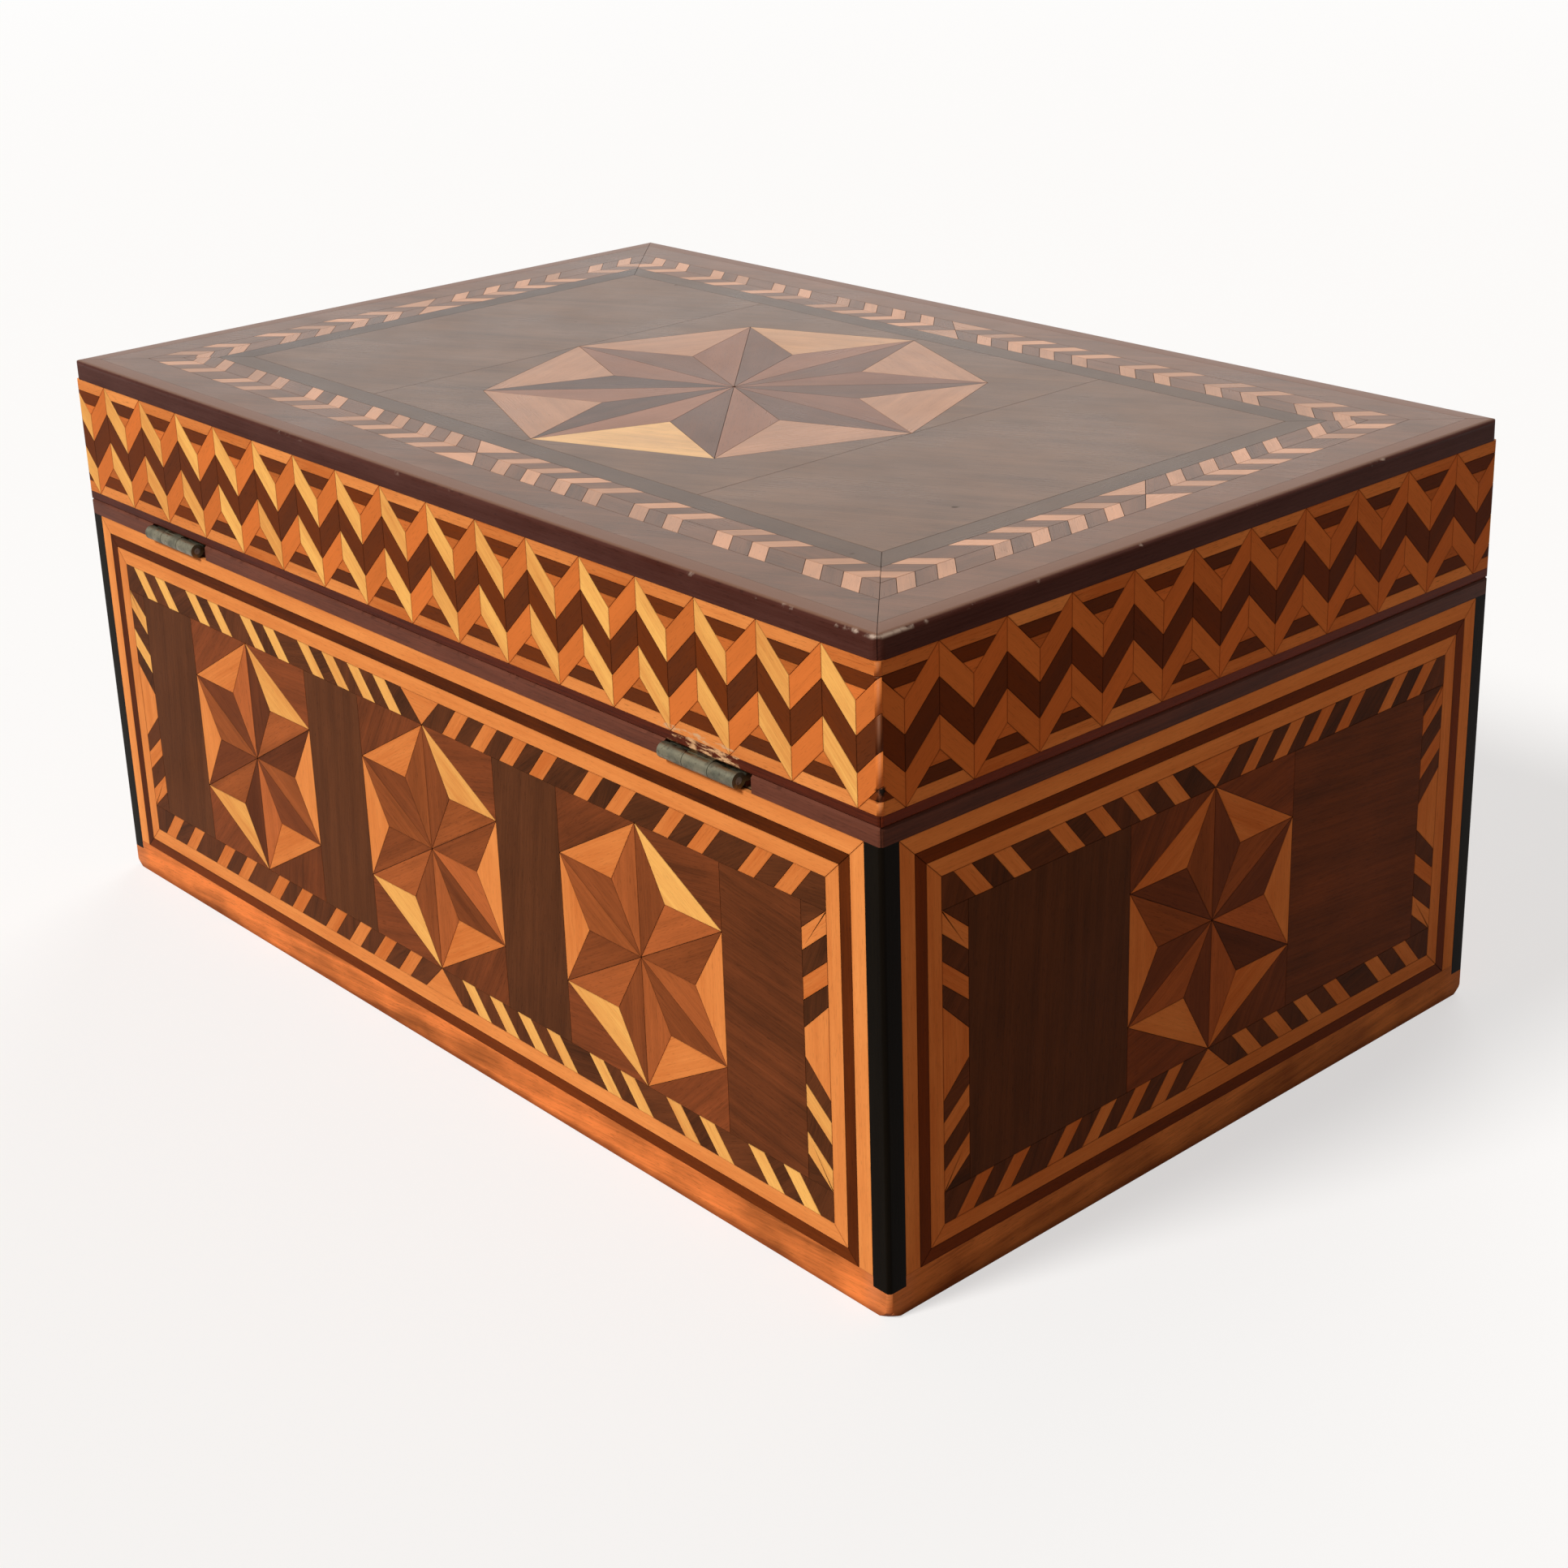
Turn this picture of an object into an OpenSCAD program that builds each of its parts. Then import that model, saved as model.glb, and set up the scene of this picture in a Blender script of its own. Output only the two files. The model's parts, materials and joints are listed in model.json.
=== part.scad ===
// Marquetry box with a hinged lid. Millimetres, Z up.
// The origin is the middle of the foot. X runs along the box, the hinges are at +Y, the lock at -Y.

/* [Box] */
// Length along X over the veneer
box_l = 300; // [270:1:360]
// Depth along Y over the veneer
box_d = 193; // [170:1:240]
// Height with the lid shut
box_h = 143.7; // [130:0.1:160]
// Height of the lid, from the joint up
lid_h = 37.6; // [34:0.1:44]
// Thickness of the wall boards
board_t = 9; // [8:0.1:12]
// Thickness of the bottom board
bottom_t = 6; // [4:0.1:8]
// Thickness of the lid board
lid_board_t = 6; // [5:0.1:8]
// Thickness of the veneer
veneer_t = 1; // [0.8:0.05:1.2]
// Saw line between two pieces of veneer
saw_line = 0.12; // [0.08:0.01:0.2]

/* [Edges] */
// Height of the dark rim on the walls
rim_h = 3.8; // [3.4:0.1:5]
// Height of the lip under the lid
lip_h = 2.4; // [2:0.1:3]
// How far the outer edges of rim and lip are eased where they meet
joint_ease = 0.5; // [0.2:0.05:0.8]
// Height of the moulding round the lid's top edge
moulding_h = 4.9; // [3:0.1:5.5]
// Width of that moulding on the lid's top
moulding_w = 5; // [3:0.1:7]
// Rounding of the moulding's top edge
moulding_r = 1.4; // [0.5:0.1:2.5]
// Rounding of the moulding's corners
moulding_corner_r = 2.2; // [1:0.1:3]
// Side of the square black corner strings
string_w = 4.6; // [3:0.1:6]
// Rounding of the upright corners
corner_r = 1; // [0.4:0.1:1.4]
// Height of the banding round the foot
banding_h = 8.4; // [7:0.1:10]
// How far the wear of the bottom corners reaches along their edges
foot_wear_l = 3; // [1.5:0.1:4]

/* [Side panels] */
// Width of the outer light line
outer_line_w = 4; // [3:0.1:5]
// Width of the dark line
dark_line_w = 3; // [2:0.1:4]
// Width of the inner light line
inner_line_w = 3.9; // [3:0.1:5]
// Length of the teeth, from the inner line to the field
tooth_h = 7.2; // [6:0.1:8]
// Width of a tooth
tooth_w = 5; // [3.5:0.1:6]
// How far a tooth leans
tooth_lean = 6; // [4:0.1:7]
// Step between the teeth of one group
tooth_step = 10.8; // [9.5:0.1:13]
// Step from one group of teeth to the next
group_step = 15.6; // [14:0.1:18]
// Middle to the first tooth of a long border
first_tooth = 8; // [7.5:0.1:10]
// Half the base of the triangle in the middle of a border
triangle_half = 7.5; // [6:0.1:9]
// Half the short side of the piece in the middle of an upright border
keystone_half = 3.2; // [2:0.1:4]
// Middle to the first tooth of an upright border
first_upright_tooth = 9.2; // [8.5:0.1:11]
// Distance between the stars of a long side
star_step = 76.5; // [66:0.5:80]
// Notches of the six-pointed stars, as a share of their radius
star_notch = 0.57; // [0.4:0.01:0.65]

/* [Lid band] */
// Length of one wave of the zigzag
wave_l = 18; // [14:0.5:24]
// Rise of a wave
wave_rise = 8.9; // [8:0.1:10]
// Upright thickness of the dark zigzag
dark_arm_h = 7.4; // [6:0.1:9]
// Height of the light strip between two arms
block_gap = 2.9; // [2:0.1:3.2]
// Height of the small dark blocks
block_h = 3.2; // [2.5:0.1:3.6]

/* [Lid top] */
// Outer edge of the lid to the chevron border
margin_w = 14; // [10:0.5:20]
// Width of the chevron border
chevron_w = 13; // [10:0.5:15]
// Width of the dark frame inside the chevrons
frame_w = 6.5; // [4:0.5:9]
// Radius of the octagon round the eight-pointed star
octagon_r = 61; // [40:0.5:62]
// Radius of the notches of that star
octagon_notch_r = 33; // [24:0.5:36]

/* [Corner joints] */
// Dovetails at each corner of the walls
wall_tails = 4; // [3:1:6]
// Dovetails at each corner of the lid frame
lid_tails = 2; // [1:1:3]
// How much wider a tail is at its end, on each side
tail_flare = 1.5; // [0.8:0.1:2]

/* [Hinges] */
// Length of a hinge
hinge_l = 23; // [20:0.5:30]
// Left end of the box, seen from the front, to the middle of the left hinge
left_hinge_in = 50.5; // [36:0.5:70]
// Right end of the box to the middle of the right hinge
right_hinge_in = 44; // [36:0.5:70]
// Open part of the barrel's notch beside each hinge
notch_spare = 3; // [1:0.1:6]
// Depth of that open part
notch_depth = 4; // [2:0.1:5]
// Radius of the barrel
barrel_r = 1.75; // [1.6:0.05:1.9]
// Radius of the hinge pin
hinge_pin_r = 0.8; // [0.6:0.05:0.9]
// Running clearance between pin and barrel
pin_play = 0.05; // [0.03:0.01:0.08]
// Middle of the pin behind the back face
pin_back = 0.5; // [0.4:0.05:0.8]
// Middle of the pin below the joint of the lid
pin_drop = 1.95; // [1.9:0.01:2.1]
// Thickness of a leaf
leaf_t = 1.2; // [1:0.05:1.3]
// Width of a leaf from the middle of the pin
leaf_w = 8; // [7:0.1:9]
// Gap between two knuckles
knuckle_gap = 0.15; // [0.1:0.01:0.3]
// Distance between the screws of a leaf
hinge_screw_step = 7.8; // [7:0.1:8.4]

/* [Screws] */
// Radius of a screw's head
screw_head_r = 1.9; // [1.6:0.1:2]
// Radius of a screw's shank
screw_r = 0.9; // [0.8:0.05:1.1]
// Length of the screws of hinges and link plate
screw_l = 8; // [6:0.5:9]
// Length of the screws of the lock
lock_screw_l = 6; // [4:0.5:6.5]

/* [Lock] */
// Length of the lock's plates
lock_l = 46; // [44:1:52]
// Height of the lock's back plate
lock_h = 22; // [21:0.5:26]
// Width of the lock's top plate
lock_top_w = 7.5; // [7:0.1:8]
// Thickness of the lock's plates
lock_plate_t = 1.2; // [1:0.05:1.4]
// How far the lock's plates reach past its case at each end
lock_reach = 4.5; // [4.2:0.1:5]
// Depth of the lock's case inside, front to back
lock_room = 4; // [3.8:0.1:4.4]
// Wall of the lock's case
lock_wall = 0.8; // [0.6:0.05:1]
// Thickness of the bolt
bolt_t = 3; // [2.6:0.1:3.2]
// Travel of the bolt
bolt_travel = 4.5; // [4:0.1:4.8]
// Thickness of a staple
staple_t = 1.6; // [1.2:0.1:1.8]
// Height of the keyhole's middle below the joint of the lid
keyhole_drop = 14; // [13.5:0.1:15]
// Rim of the escutcheon round the keyhole
escutcheon_w = 1.3; // [0.8:0.1:1.6]

/* [Hidden] */

$fn = 48;
// Cuts run this far past the faces that they open
past = 1;
// Clearance of a part that is let into wood
let_in = 0.05;
// Pieces of veneer under this area are left out
least_area = 0.6;

half_l = box_l / 2;
half_d = box_d / 2;
joint_z = box_h - lid_h;
wall_top = joint_z - rim_h;
lid_frame_z = joint_z + lip_h;
lid_board_z = box_h - veneer_t - lid_board_t;
wall_t = board_t + veneer_t;

// Borders of the side panels, measured in from the ends and down from the rim
line_1 = string_w + outer_line_w;
line_2 = line_1 + dark_line_w;
line_3 = line_2 + inner_line_w;
field_in = line_3 + tooth_h;
field_top = wall_top - outer_line_w - dark_line_w - inner_line_w - tooth_h;
field_bottom = banding_h + dark_line_w + inner_line_w + tooth_h;
field_mid = (field_top + field_bottom) / 2;
field_half_h = (field_top - field_bottom) / 2;
star_r = field_half_h;
tile_half = star_r * cos(30);

// Zigzag band round the lid, measured up from the lip
band_top = box_h - moulding_h;
band_h = band_top - lid_frame_z;
light_arm_h = (band_h - wave_rise - dark_arm_h) / 2;
wave_slope = wave_rise / (wave_l / 2);

// Lid top, measured in from the edges
chevron_half = chevron_w / 2;
frame_in = margin_w + chevron_w;
field_edge = frame_in + frame_w;
top_half_x = half_l - field_edge;
top_half_y = half_d - field_edge;
top_star_r = min(octagon_r, top_half_y);

pin_y = half_d + pin_back;
pin_z = joint_z - pin_drop;
hinge_xs = [-half_l + left_hinge_in, half_l - right_hinge_in];
lid_leaf_z = joint_z - leaf_t;
leaf_play = 0.15;
box_leaf_top = lid_leaf_z - leaf_play;
box_leaf_z = box_leaf_top - leaf_t;
barrel_play = 0.2;
knuckle_l = hinge_l / 3;
leaf_mid_y = pin_y - (leaf_w + barrel_r) / 2;
head_h = screw_head_r - screw_r;
slot_w = 0.5;
slot_deep = 0.45;

inner_y = -half_d + wall_t;
lock_front_y = inner_y - lock_plate_t - lock_room - lock_wall;
case_half = lock_l / 2 - lock_reach;
bolt_end_room = 0.6;
lock_bottom = joint_z - lock_h;
case_top = joint_z - lock_plate_t;
key_z = joint_z - keyhole_drop;
key_r = 1.7;
key_slot_w = 1.8;
key_slot_l = 6;
key_post_r = 0.8;
staple_gap = 0.3;
staple_w = lock_room - 2 * staple_gap;
staple_l = 7.6;
staple_wall = 0.7;
staple_play = 0.3;
staple_y = inner_y - lock_plate_t - lock_room / 2;
eye_h = 3.2;
eye_floor = 1.1;
eye_bottom = joint_z - staple_l + eye_floor;
finger_h = eye_h - 2 * staple_play;
finger_t = staple_w - 2 * staple_wall - 2 * staple_play;
finger_rest = 0.5;
post_w = 2.3;
staple_step = 2 * (case_half - lock_wall - bolt_end_room - post_w - bolt_travel - finger_rest
    - staple_t / 2);
bar_h = 3;
bar_z = joint_z - staple_l - staple_play - bar_h;
ledge_h = 1.2;
ledge_play = 0.2;
plate_screw_x = case_half + lock_reach / 2;
lock_screw_in = 4;
lock_screw_low = lock_bottom + lock_screw_in;
lock_screw_high = joint_z - rim_h - lock_screw_in;
link_screw_shift = 0.2;
link_screw_y = inner_y - lock_top_w / 2 + link_screw_shift;

// Outlines are lists of points, turned so that they run anticlockwise
function doubled_area(p) =
    [for (i = 0, s = 0; i <= len(p);
        s = s + (i < len(p) ? cross(p[i], p[(i + 1) % len(p)]) : 0), i = i + 1) s][len(p)];
function turned(p) = doubled_area(p) < 0 ? [for (i = [len(p) - 1:-1:0]) p[i]] : p;
function unit(v) = v / norm(v);
function inward(a, b) = unit([a.y - b.y, b.x - a.x]);

// An outline drawn in by g on every side
function drawn_in(p, g) = [
    for (i = [0:len(p) - 1])
        let (n1 = inward(p[(i + len(p) - 1) % len(p)], p[i]))
        let (n2 = inward(p[i], p[(i + 1) % len(p)]))
        p[i] + g * (n1 + n2) / (1 + n1 * n2)
];

// The part of a convex outline where the point's dot product with n is at most d
function kept_side(p, n, d) = [
    for (i = [0:len(p) - 1])
        let (a = p[i], b = p[(i + 1) % len(p)])
        let (da = a * n - d, db = b * n - d)
        each concat(da <= 0 ? [a] : [], da * db < 0 ? [a + (b - a) * da / (da - db)] : [])
];

function mirrored(p) = [for (q = p) [-q.x, q.y]];
function flipped(p) = [for (q = p) [q.x, -q.y]];
function moved(p, by) = [for (q = p) q + by];
function swapped(p) = [for (q = p) [q.y, q.x]];
function polar(r, a) = [r * cos(a), r * sin(a)];
function rect(x0, y0, x1, y1) = [[x0, y0], [x1, y0], [x1, y1], [x0, y1]];

// The outline of a piece that is sawn out of its sheet, less half a saw line
function sawn(p) = drawn_in(turned(p), saw_line / 2);

// One piece of veneer, or a thicker strip
module piece(p, t = veneer_t) {
    if (len(p) > 2 && abs(doubled_area(p)) > 2 * least_area) {
        linear_extrude(t)
            polygon(p);
    }
}

module pieces(list) {
    for (p = list) {
        piece(p);
    }
}

module sawn_pieces(list) {
    for (p = list) {
        piece(sawn(p));
    }
}

// Sides of the box: the turn about Z, the distance from the middle, and half the veneer's
// length. The veneer of the ends stands between that of the long sides.
end_veneer_half = half_d - veneer_t - saw_line;
FRONT = [0, half_d, half_l];
RIGHT = [90, half_l, end_veneer_half];
BACK = [180, half_d, half_l];
LEFT = [270, half_l, end_veneer_half];
SIDES = [FRONT, RIGHT, BACK, LEFT];

// Draws a flat design on a side: x runs to the right, seen from outside, and y is the height
module on_side(side) {
    rotate([0, 0, side[0]])
        translate([0, veneer_t - side[1], 0])
            rotate([90, 0, 0])
                children();
}

// Half the box less a width, along the face, the same for long and end faces
function side_half(side, less) = (side[0] % 180 == 0 ? half_l : half_d) - less;

module on_top() {
    translate([0, 0, box_h - veneer_t])
        children();
}

// Four mitred strips of a rectangular frame, seen from above or on a face
function frame_strips(x0, y0, x1, y1, w) = [
    [[x0, y0], [x1, y0], [x1 - w, y0 + w], [x0 + w, y0 + w]],
    [[x1, y0], [x1, y1], [x1 - w, y1 - w], [x1 - w, y0 + w]],
    [[x1, y1], [x0, y1], [x0 + w, y1 - w], [x1 - w, y1 - w]],
    [[x0, y1], [x0, y0], [x0 + w, y0 + w], [x0 + w, y1 - w]]
];

// Four strips that reach w in from the box's outer faces, and past those faces
function outer_strips(w) =
    frame_strips(-half_l - past, -half_d - past, half_l + past, half_d + past, w + past);

// A block with round upright corners, with the box's own plan
module rounded_block(z, h, r) {
    translate([-half_l + r, -half_d, z])
        cube([box_l - 2 * r, box_d, h]);
    translate([-half_l, -half_d + r, z])
        cube([box_l, box_d - 2 * r, h]);
    for (x = [-half_l + r, half_l - r]) {
        for (y = [-half_d + r, half_d - r]) {
            translate([x, y, z])
                cylinder(r = r, h = h);
        }
    }
}

// Teeth of a border. The field's edge is y = 0, the line's edge is y = tall.
// Teeth that one row holds on one side of its middle, by distance from the middle
function tooth_starts(half, first) = [
    for (k = 0, x = first;
        x + tooth_w + tooth_lean / 2 < half;
        x = x + (k >= 3 && k % 2 == 1 ? group_step : tooth_step), k = k + 1) x
];
function tooth(x, tall) = [
    [x, 0],
    [x + tooth_w, 0],
    [x + tooth_w + tooth_lean, tall],
    [x + tooth_lean, tall]
];
// Ground between one tooth and what comes next
function tooth_gap(x, next, tall, lean_next) = [
    [x, 0],
    [next, 0],
    [next + lean_next, tall],
    [x + tooth_lean, tall]
];
function middle_piece(inner, outer, tall) =
    inner > 0
    ? [[-inner, 0], [inner, 0], [outer, tall], [-outer, tall]]
    : [[0, 0], [outer, tall], [-outer, tall]];
function end_cut(p, half, slope) =
    kept_side(sawn(p), [1, -slope], half - saw_line / 2 * norm([1, slope]));

function light_half_row(half, first, tall, slope) = [
    for (x = tooth_starts(half, first)) end_cut(tooth(x, tall), half, slope)
];
function dark_half_row(half, first, tall, slope, inner, outer) =
    let (starts = tooth_starts(half, first))
    let (last = len(starts) - 1)
    concat(
        [sawn([[inner, 0], [starts[0], 0], [starts[0] + tooth_lean, tall], [outer, tall]])],
        [
            for (k = [0:last])
                end_cut(tooth_gap(starts[k] + tooth_w,
                    k < last ? starts[k + 1] : half + tall + tooth_lean,
                    tall, k < last ? tooth_lean : 0), half, slope)
        ]
    );
function light_row(half, first, tall, slope, inner, outer) =
    let (side = light_half_row(half, first, tall, slope))
    concat([sawn(middle_piece(inner, outer, tall))], side, [for (p = side) mirrored(p)]);
function dark_row(half, first, tall, slope, inner, outer) =
    let (side = dark_half_row(half, first, tall, slope, inner, outer))
    concat(side, [for (p = side) mirrored(p)]);

function set_row(list, y) = [for (p = list) moved(p, [0, y])];
function set_flipped(list, y) = [for (p = list) moved(flipped(p), [0, y])];
function set_upright(list, x, y, way) = [
    for (p = list) [for (q = p) [x + way * q.y, y + q.x]]
];

// The four rows of a side panel, for light or for dark pieces
function long_rows(row) = concat(set_row(row, field_top), set_flipped(row, field_bottom));
function upright_rows(row, x) = concat(
    set_upright(row, x, field_mid, 1),
    set_upright(row, -x, field_mid, -1)
);
function panel_teeth(side) = concat(
    long_rows(light_row(side_half(side, line_3), first_tooth, tooth_h, 0, 0, triangle_half)),
    upright_rows(light_row(field_half_h, first_upright_tooth, tooth_h, 0,
        keystone_half, keystone_half + tooth_h), side_half(side, field_in))
);
function panel_tooth_gaps(side) = concat(
    long_rows(dark_row(side_half(side, line_3), first_tooth, tooth_h, 0, 0, triangle_half)),
    upright_rows(dark_row(field_half_h, first_upright_tooth, tooth_h, 0,
        keystone_half, keystone_half + tooth_h), side_half(side, field_in))
);

// Stars with n points, the first one at angle a0, round the point c
function star_light(n, r, notch, a0, c) = [
    for (k = [0:n - 1])
        let (a = a0 + k * 360 / n)
        moved([polar(r, a), polar(r, a + 360 / n), polar(notch, a + 180 / n)], c)
];
// The half of each point on one side of its middle, way 1 for anticlockwise
function star_half(n, r, notch, a0, c, way) = [
    for (k = [0:n - 1])
        let (a = a0 + k * 360 / n)
        moved([[0, 0], polar(r, a), polar(notch, a + way * 180 / n)], c)
];

function star_xs(side) = side[0] % 180 == 0 ? [-star_step, 0, star_step] : [0];
function star_centres(side) = [for (x = star_xs(side)) [x, field_mid]];
function side_star_light(side) = [
    for (c = star_centres(side)) each star_light(6, star_r, star_r * star_notch, 90, c)
];
function side_star_half(side, way) = [
    for (c = star_centres(side)) each star_half(6, star_r, star_r * star_notch, 90, c, way)
];

// Ground of a side panel: a redder tile round each star, plain ground between and beside them
function tile_corner(c, sx, sy) = [
    c + [0, sy * star_r],
    c + [sx * tile_half, sy * star_r / 2],
    c + [sx * tile_half, sy * star_r]
];
function panel_tiles(side) = [
    for (c = star_centres(side))
        for (sx = [-1, 1])
            for (sy = [-1, 1])
                tile_corner(c, sx, sy)
];
function panel_plain(side) =
    let (edge = side_half(side, field_in))
    let (xs = star_xs(side))
    let (last = len(xs) - 1)
    concat(
        [rect(-edge, field_bottom, xs[0] - tile_half, field_top)],
        [rect(xs[last] + tile_half, field_bottom, edge, field_top)],
        [
            for (k = [0:1:last - 1])
                rect(xs[k] + tile_half, field_bottom, xs[k + 1] - tile_half, field_top)
        ]
    );

module panel_ground(side) {
    color([0.24, 0.13, 0.08])
        on_side(side) {
            sawn_pieces(panel_plain(side));
            sawn_pieces(panel_tiles(side));
            pieces(panel_tooth_gaps(side));
        }
}

module panel_light(side) {
    color([0.85, 0.6, 0.32])
        on_side(side) {
            pieces(panel_teeth(side));
            sawn_pieces(side_star_light(side));
        }
}

module panel_brown(side) {
    color([0.5, 0.28, 0.15])
        on_side(side)
            sawn_pieces(side_star_half(side, 1));
}

module panel_dark(side) {
    color([0.2, 0.1, 0.07])
        on_side(side)
            sawn_pieces(side_star_half(side, -1));
}

module back_ground() {
    panel_ground(BACK);
}

module back_light_inlay() {
    panel_light(BACK);
}

module back_brown_inlay() {
    panel_brown(BACK);
}

module back_dark_inlay() {
    panel_dark(BACK);
}

module front_ground() {
    difference() {
        panel_ground(FRONT);
        escutcheon_solid(saw_line / 2);
    }
}

module front_light_inlay() {
    difference() {
        panel_light(FRONT);
        escutcheon_solid(saw_line / 2);
    }
}

module front_brown_inlay() {
    difference() {
        panel_brown(FRONT);
        escutcheon_solid(saw_line / 2);
    }
}

module front_dark_inlay() {
    difference() {
        panel_dark(FRONT);
        escutcheon_solid(saw_line / 2);
    }
}

module left_ground() {
    panel_ground(LEFT);
}

module left_light_inlay() {
    panel_light(LEFT);
}

module left_brown_inlay() {
    panel_brown(LEFT);
}

module left_dark_inlay() {
    panel_dark(LEFT);
}

module right_ground() {
    panel_ground(RIGHT);
}

module right_light_inlay() {
    panel_light(RIGHT);
}

module right_brown_inlay() {
    panel_brown(RIGHT);
}

module right_dark_inlay() {
    panel_dark(RIGHT);
}

// The outer light line has no bottom strip: its uprights stand on the foot banding
function outer_line(side) =
    let (x0 = side_half(side, string_w), x1 = side_half(side, line_1))
    let (top = wall_top, low = wall_top - outer_line_w)
    [
        [[-x0, top], [x0, top], [x1, low], [-x1, low]],
        [[x0, top], [x0, banding_h], [x1, banding_h], [x1, low]],
        [[-x0, top], [-x0, banding_h], [-x1, banding_h], [-x1, low]]
    ];

module border_light_lines() {
    color([0.86, 0.6, 0.33])
        difference() {
            for (side = SIDES) {
                on_side(side) {
                    sawn_pieces(outer_line(side));
                    sawn_pieces(frame_strips(-side_half(side, line_2), banding_h + dark_line_w,
                        side_half(side, line_2), wall_top - outer_line_w - dark_line_w,
                        inner_line_w));
                }
            }
            escutcheon_solid(saw_line / 2);
        }
}

module border_dark_lines() {
    color([0.17, 0.09, 0.06])
        difference() {
            for (side = SIDES) {
                on_side(side)
                    sawn_pieces(frame_strips(-side_half(side, line_1), banding_h,
                        side_half(side, line_1), wall_top - outer_line_w, dark_line_w));
            }
            escutcheon_solid(saw_line / 2);
        }
}

// What wear has taken off the four bottom corners: the corner outside a large ball
wear_r = 3.2 * foot_wear_l;
wear_in = (foot_wear_l + sqrt(3 * pow(wear_r, 2) - 2 * pow(foot_wear_l, 2))) / 3;
module foot_wear() {
    for (mx = [0, 1]) {
        for (my = [0, 1]) {
            mirror([mx, 0, 0])
                mirror([0, my, 0])
                    translate([half_l - wear_in, half_d - wear_in, wear_in])
                        difference() {
                            translate([0, 0, -wear_in - past])
                                cube([wear_in + past, wear_in + past, wear_in + past]);
                            sphere(r = wear_r);
                        }
        }
    }
}

// Banding of a face, stepped at its ends under the corner strings
function banding_outline(side) =
    let (end = side[2], step = side_half(side, string_w))
    [
        [-end, 0],
        [end, 0],
        [end, bottom_t],
        [step, bottom_t],
        [step, banding_h],
        [-step, banding_h],
        [-step, bottom_t],
        [-end, bottom_t]
    ];

module foot_banding() {
    color([0.66, 0.33, 0.19])
        difference() {
            intersection() {
                for (side = SIDES) {
                    on_side(side)
                        linear_extrude(veneer_t)
                            polygon(banding_outline(side));
                }
                rounded_block(-past, banding_h + 2 * past, corner_r);
            }
            foot_wear();
        }
}

module bottom_board() {
    color([0.72, 0.54, 0.34])
        difference() {
            translate([-half_l + veneer_t, -half_d + veneer_t, 0])
                cube([box_l - 2 * veneer_t, box_d - 2 * veneer_t, bottom_t]);
            foot_wear();
        }
}

// Black strings in the upright corners, standing on the bottom board
module corner_string() {
    translate([half_l - string_w, half_d - string_w, bottom_t]) {
        cube([string_w, string_w - corner_r, wall_top - bottom_t]);
        cube([string_w - corner_r, string_w, wall_top - bottom_t]);
        translate([string_w - corner_r, string_w - corner_r, 0])
            cylinder(r = corner_r, h = wall_top - bottom_t);
    }
}

module corner_strings() {
    color([0.06, 0.05, 0.05])
        for (mx = [0, 1]) {
            for (my = [0, 1]) {
                mirror([mx, 0, 0])
                    mirror([0, my, 0])
                        corner_string();
            }
        }
}

module string_grooves() {
    for (x = [-half_l - past, half_l - string_w]) {
        for (y = [-half_d - past, half_d - string_w]) {
            translate([x, y, bottom_t - past])
                cube([string_w + past, string_w + past, wall_top - bottom_t + 2 * past]);
        }
    }
}

// Dovetails at the end x = +half_l of a long board, as seen from the front, between two heights
module tails(z0, z1, count) {
    pitch = (z1 - z0) / count;
    root = half_l - wall_t;
    tip = half_l - veneer_t;
    narrow = pitch / 4;
    for (k = [0:count - 1]) {
        mid = z0 + (k + 0.5) * pitch;
        translate([0, half_d - veneer_t, 0])
            rotate([90, 0, 0])
                linear_extrude(board_t)
                    polygon([
                        [root, mid - narrow],
                        [tip, mid - narrow - tail_flare],
                        [tip, mid + narrow + tail_flare],
                        [root, mid + narrow]
                    ]);
    }
}

module all_tails(z0, z1, count) {
    for (mx = [0, 1]) {
        for (my = [0, 1]) {
            mirror([mx, 0, 0])
                mirror([0, my, 0])
                    tails(z0, z1, count);
        }
    }
}

// A long board with its tails at both ends, at +Y
module long_board(z0, z1, count) {
    translate([-half_l + wall_t, half_d - wall_t, z0])
        cube([box_l - 2 * wall_t, board_t, z1 - z0]);
    for (mx = [0, 1]) {
        mirror([mx, 0, 0])
            tails(z0, z1, count);
    }
}

// An end board with sockets for the tails, at +X
module end_board(z0, z1, count) {
    difference() {
        translate([half_l - wall_t, -half_d + veneer_t, z0])
            cube([board_t, box_d - 2 * veneer_t, z1 - z0]);
        all_tails(z0, z1, count);
    }
}

module back_board() {
    color([0.72, 0.54, 0.34])
        difference() {
            long_board(bottom_t, wall_top, wall_tails);
            string_grooves();
            hinge_pilot_holes(box_leaf_top, -1);
        }
}

module front_board() {
    color([0.72, 0.54, 0.34])
        difference() {
            mirror([0, 1, 0])
                long_board(bottom_t, wall_top, wall_tails);
            string_grooves();
            lock_pocket();
            lock_pilot_holes();
            keyhole_cut(-half_d, board_t + veneer_t, let_in);
        }
}

module right_board() {
    color([0.72, 0.54, 0.34])
        difference() {
            end_board(bottom_t, wall_top, wall_tails);
            string_grooves();
        }
}

module left_board() {
    mirror([1, 0, 0])
        right_board();
}

// Four mitred strips with the box's plan, of the wall's width
module edge_strips(z, h) {
    intersection() {
        translate([0, 0, z])
            for (p = outer_strips(wall_t)) {
                piece(sawn(p), h);
            }
        rounded_block(z - past, h + 2 * past, corner_r);
    }
}

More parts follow.
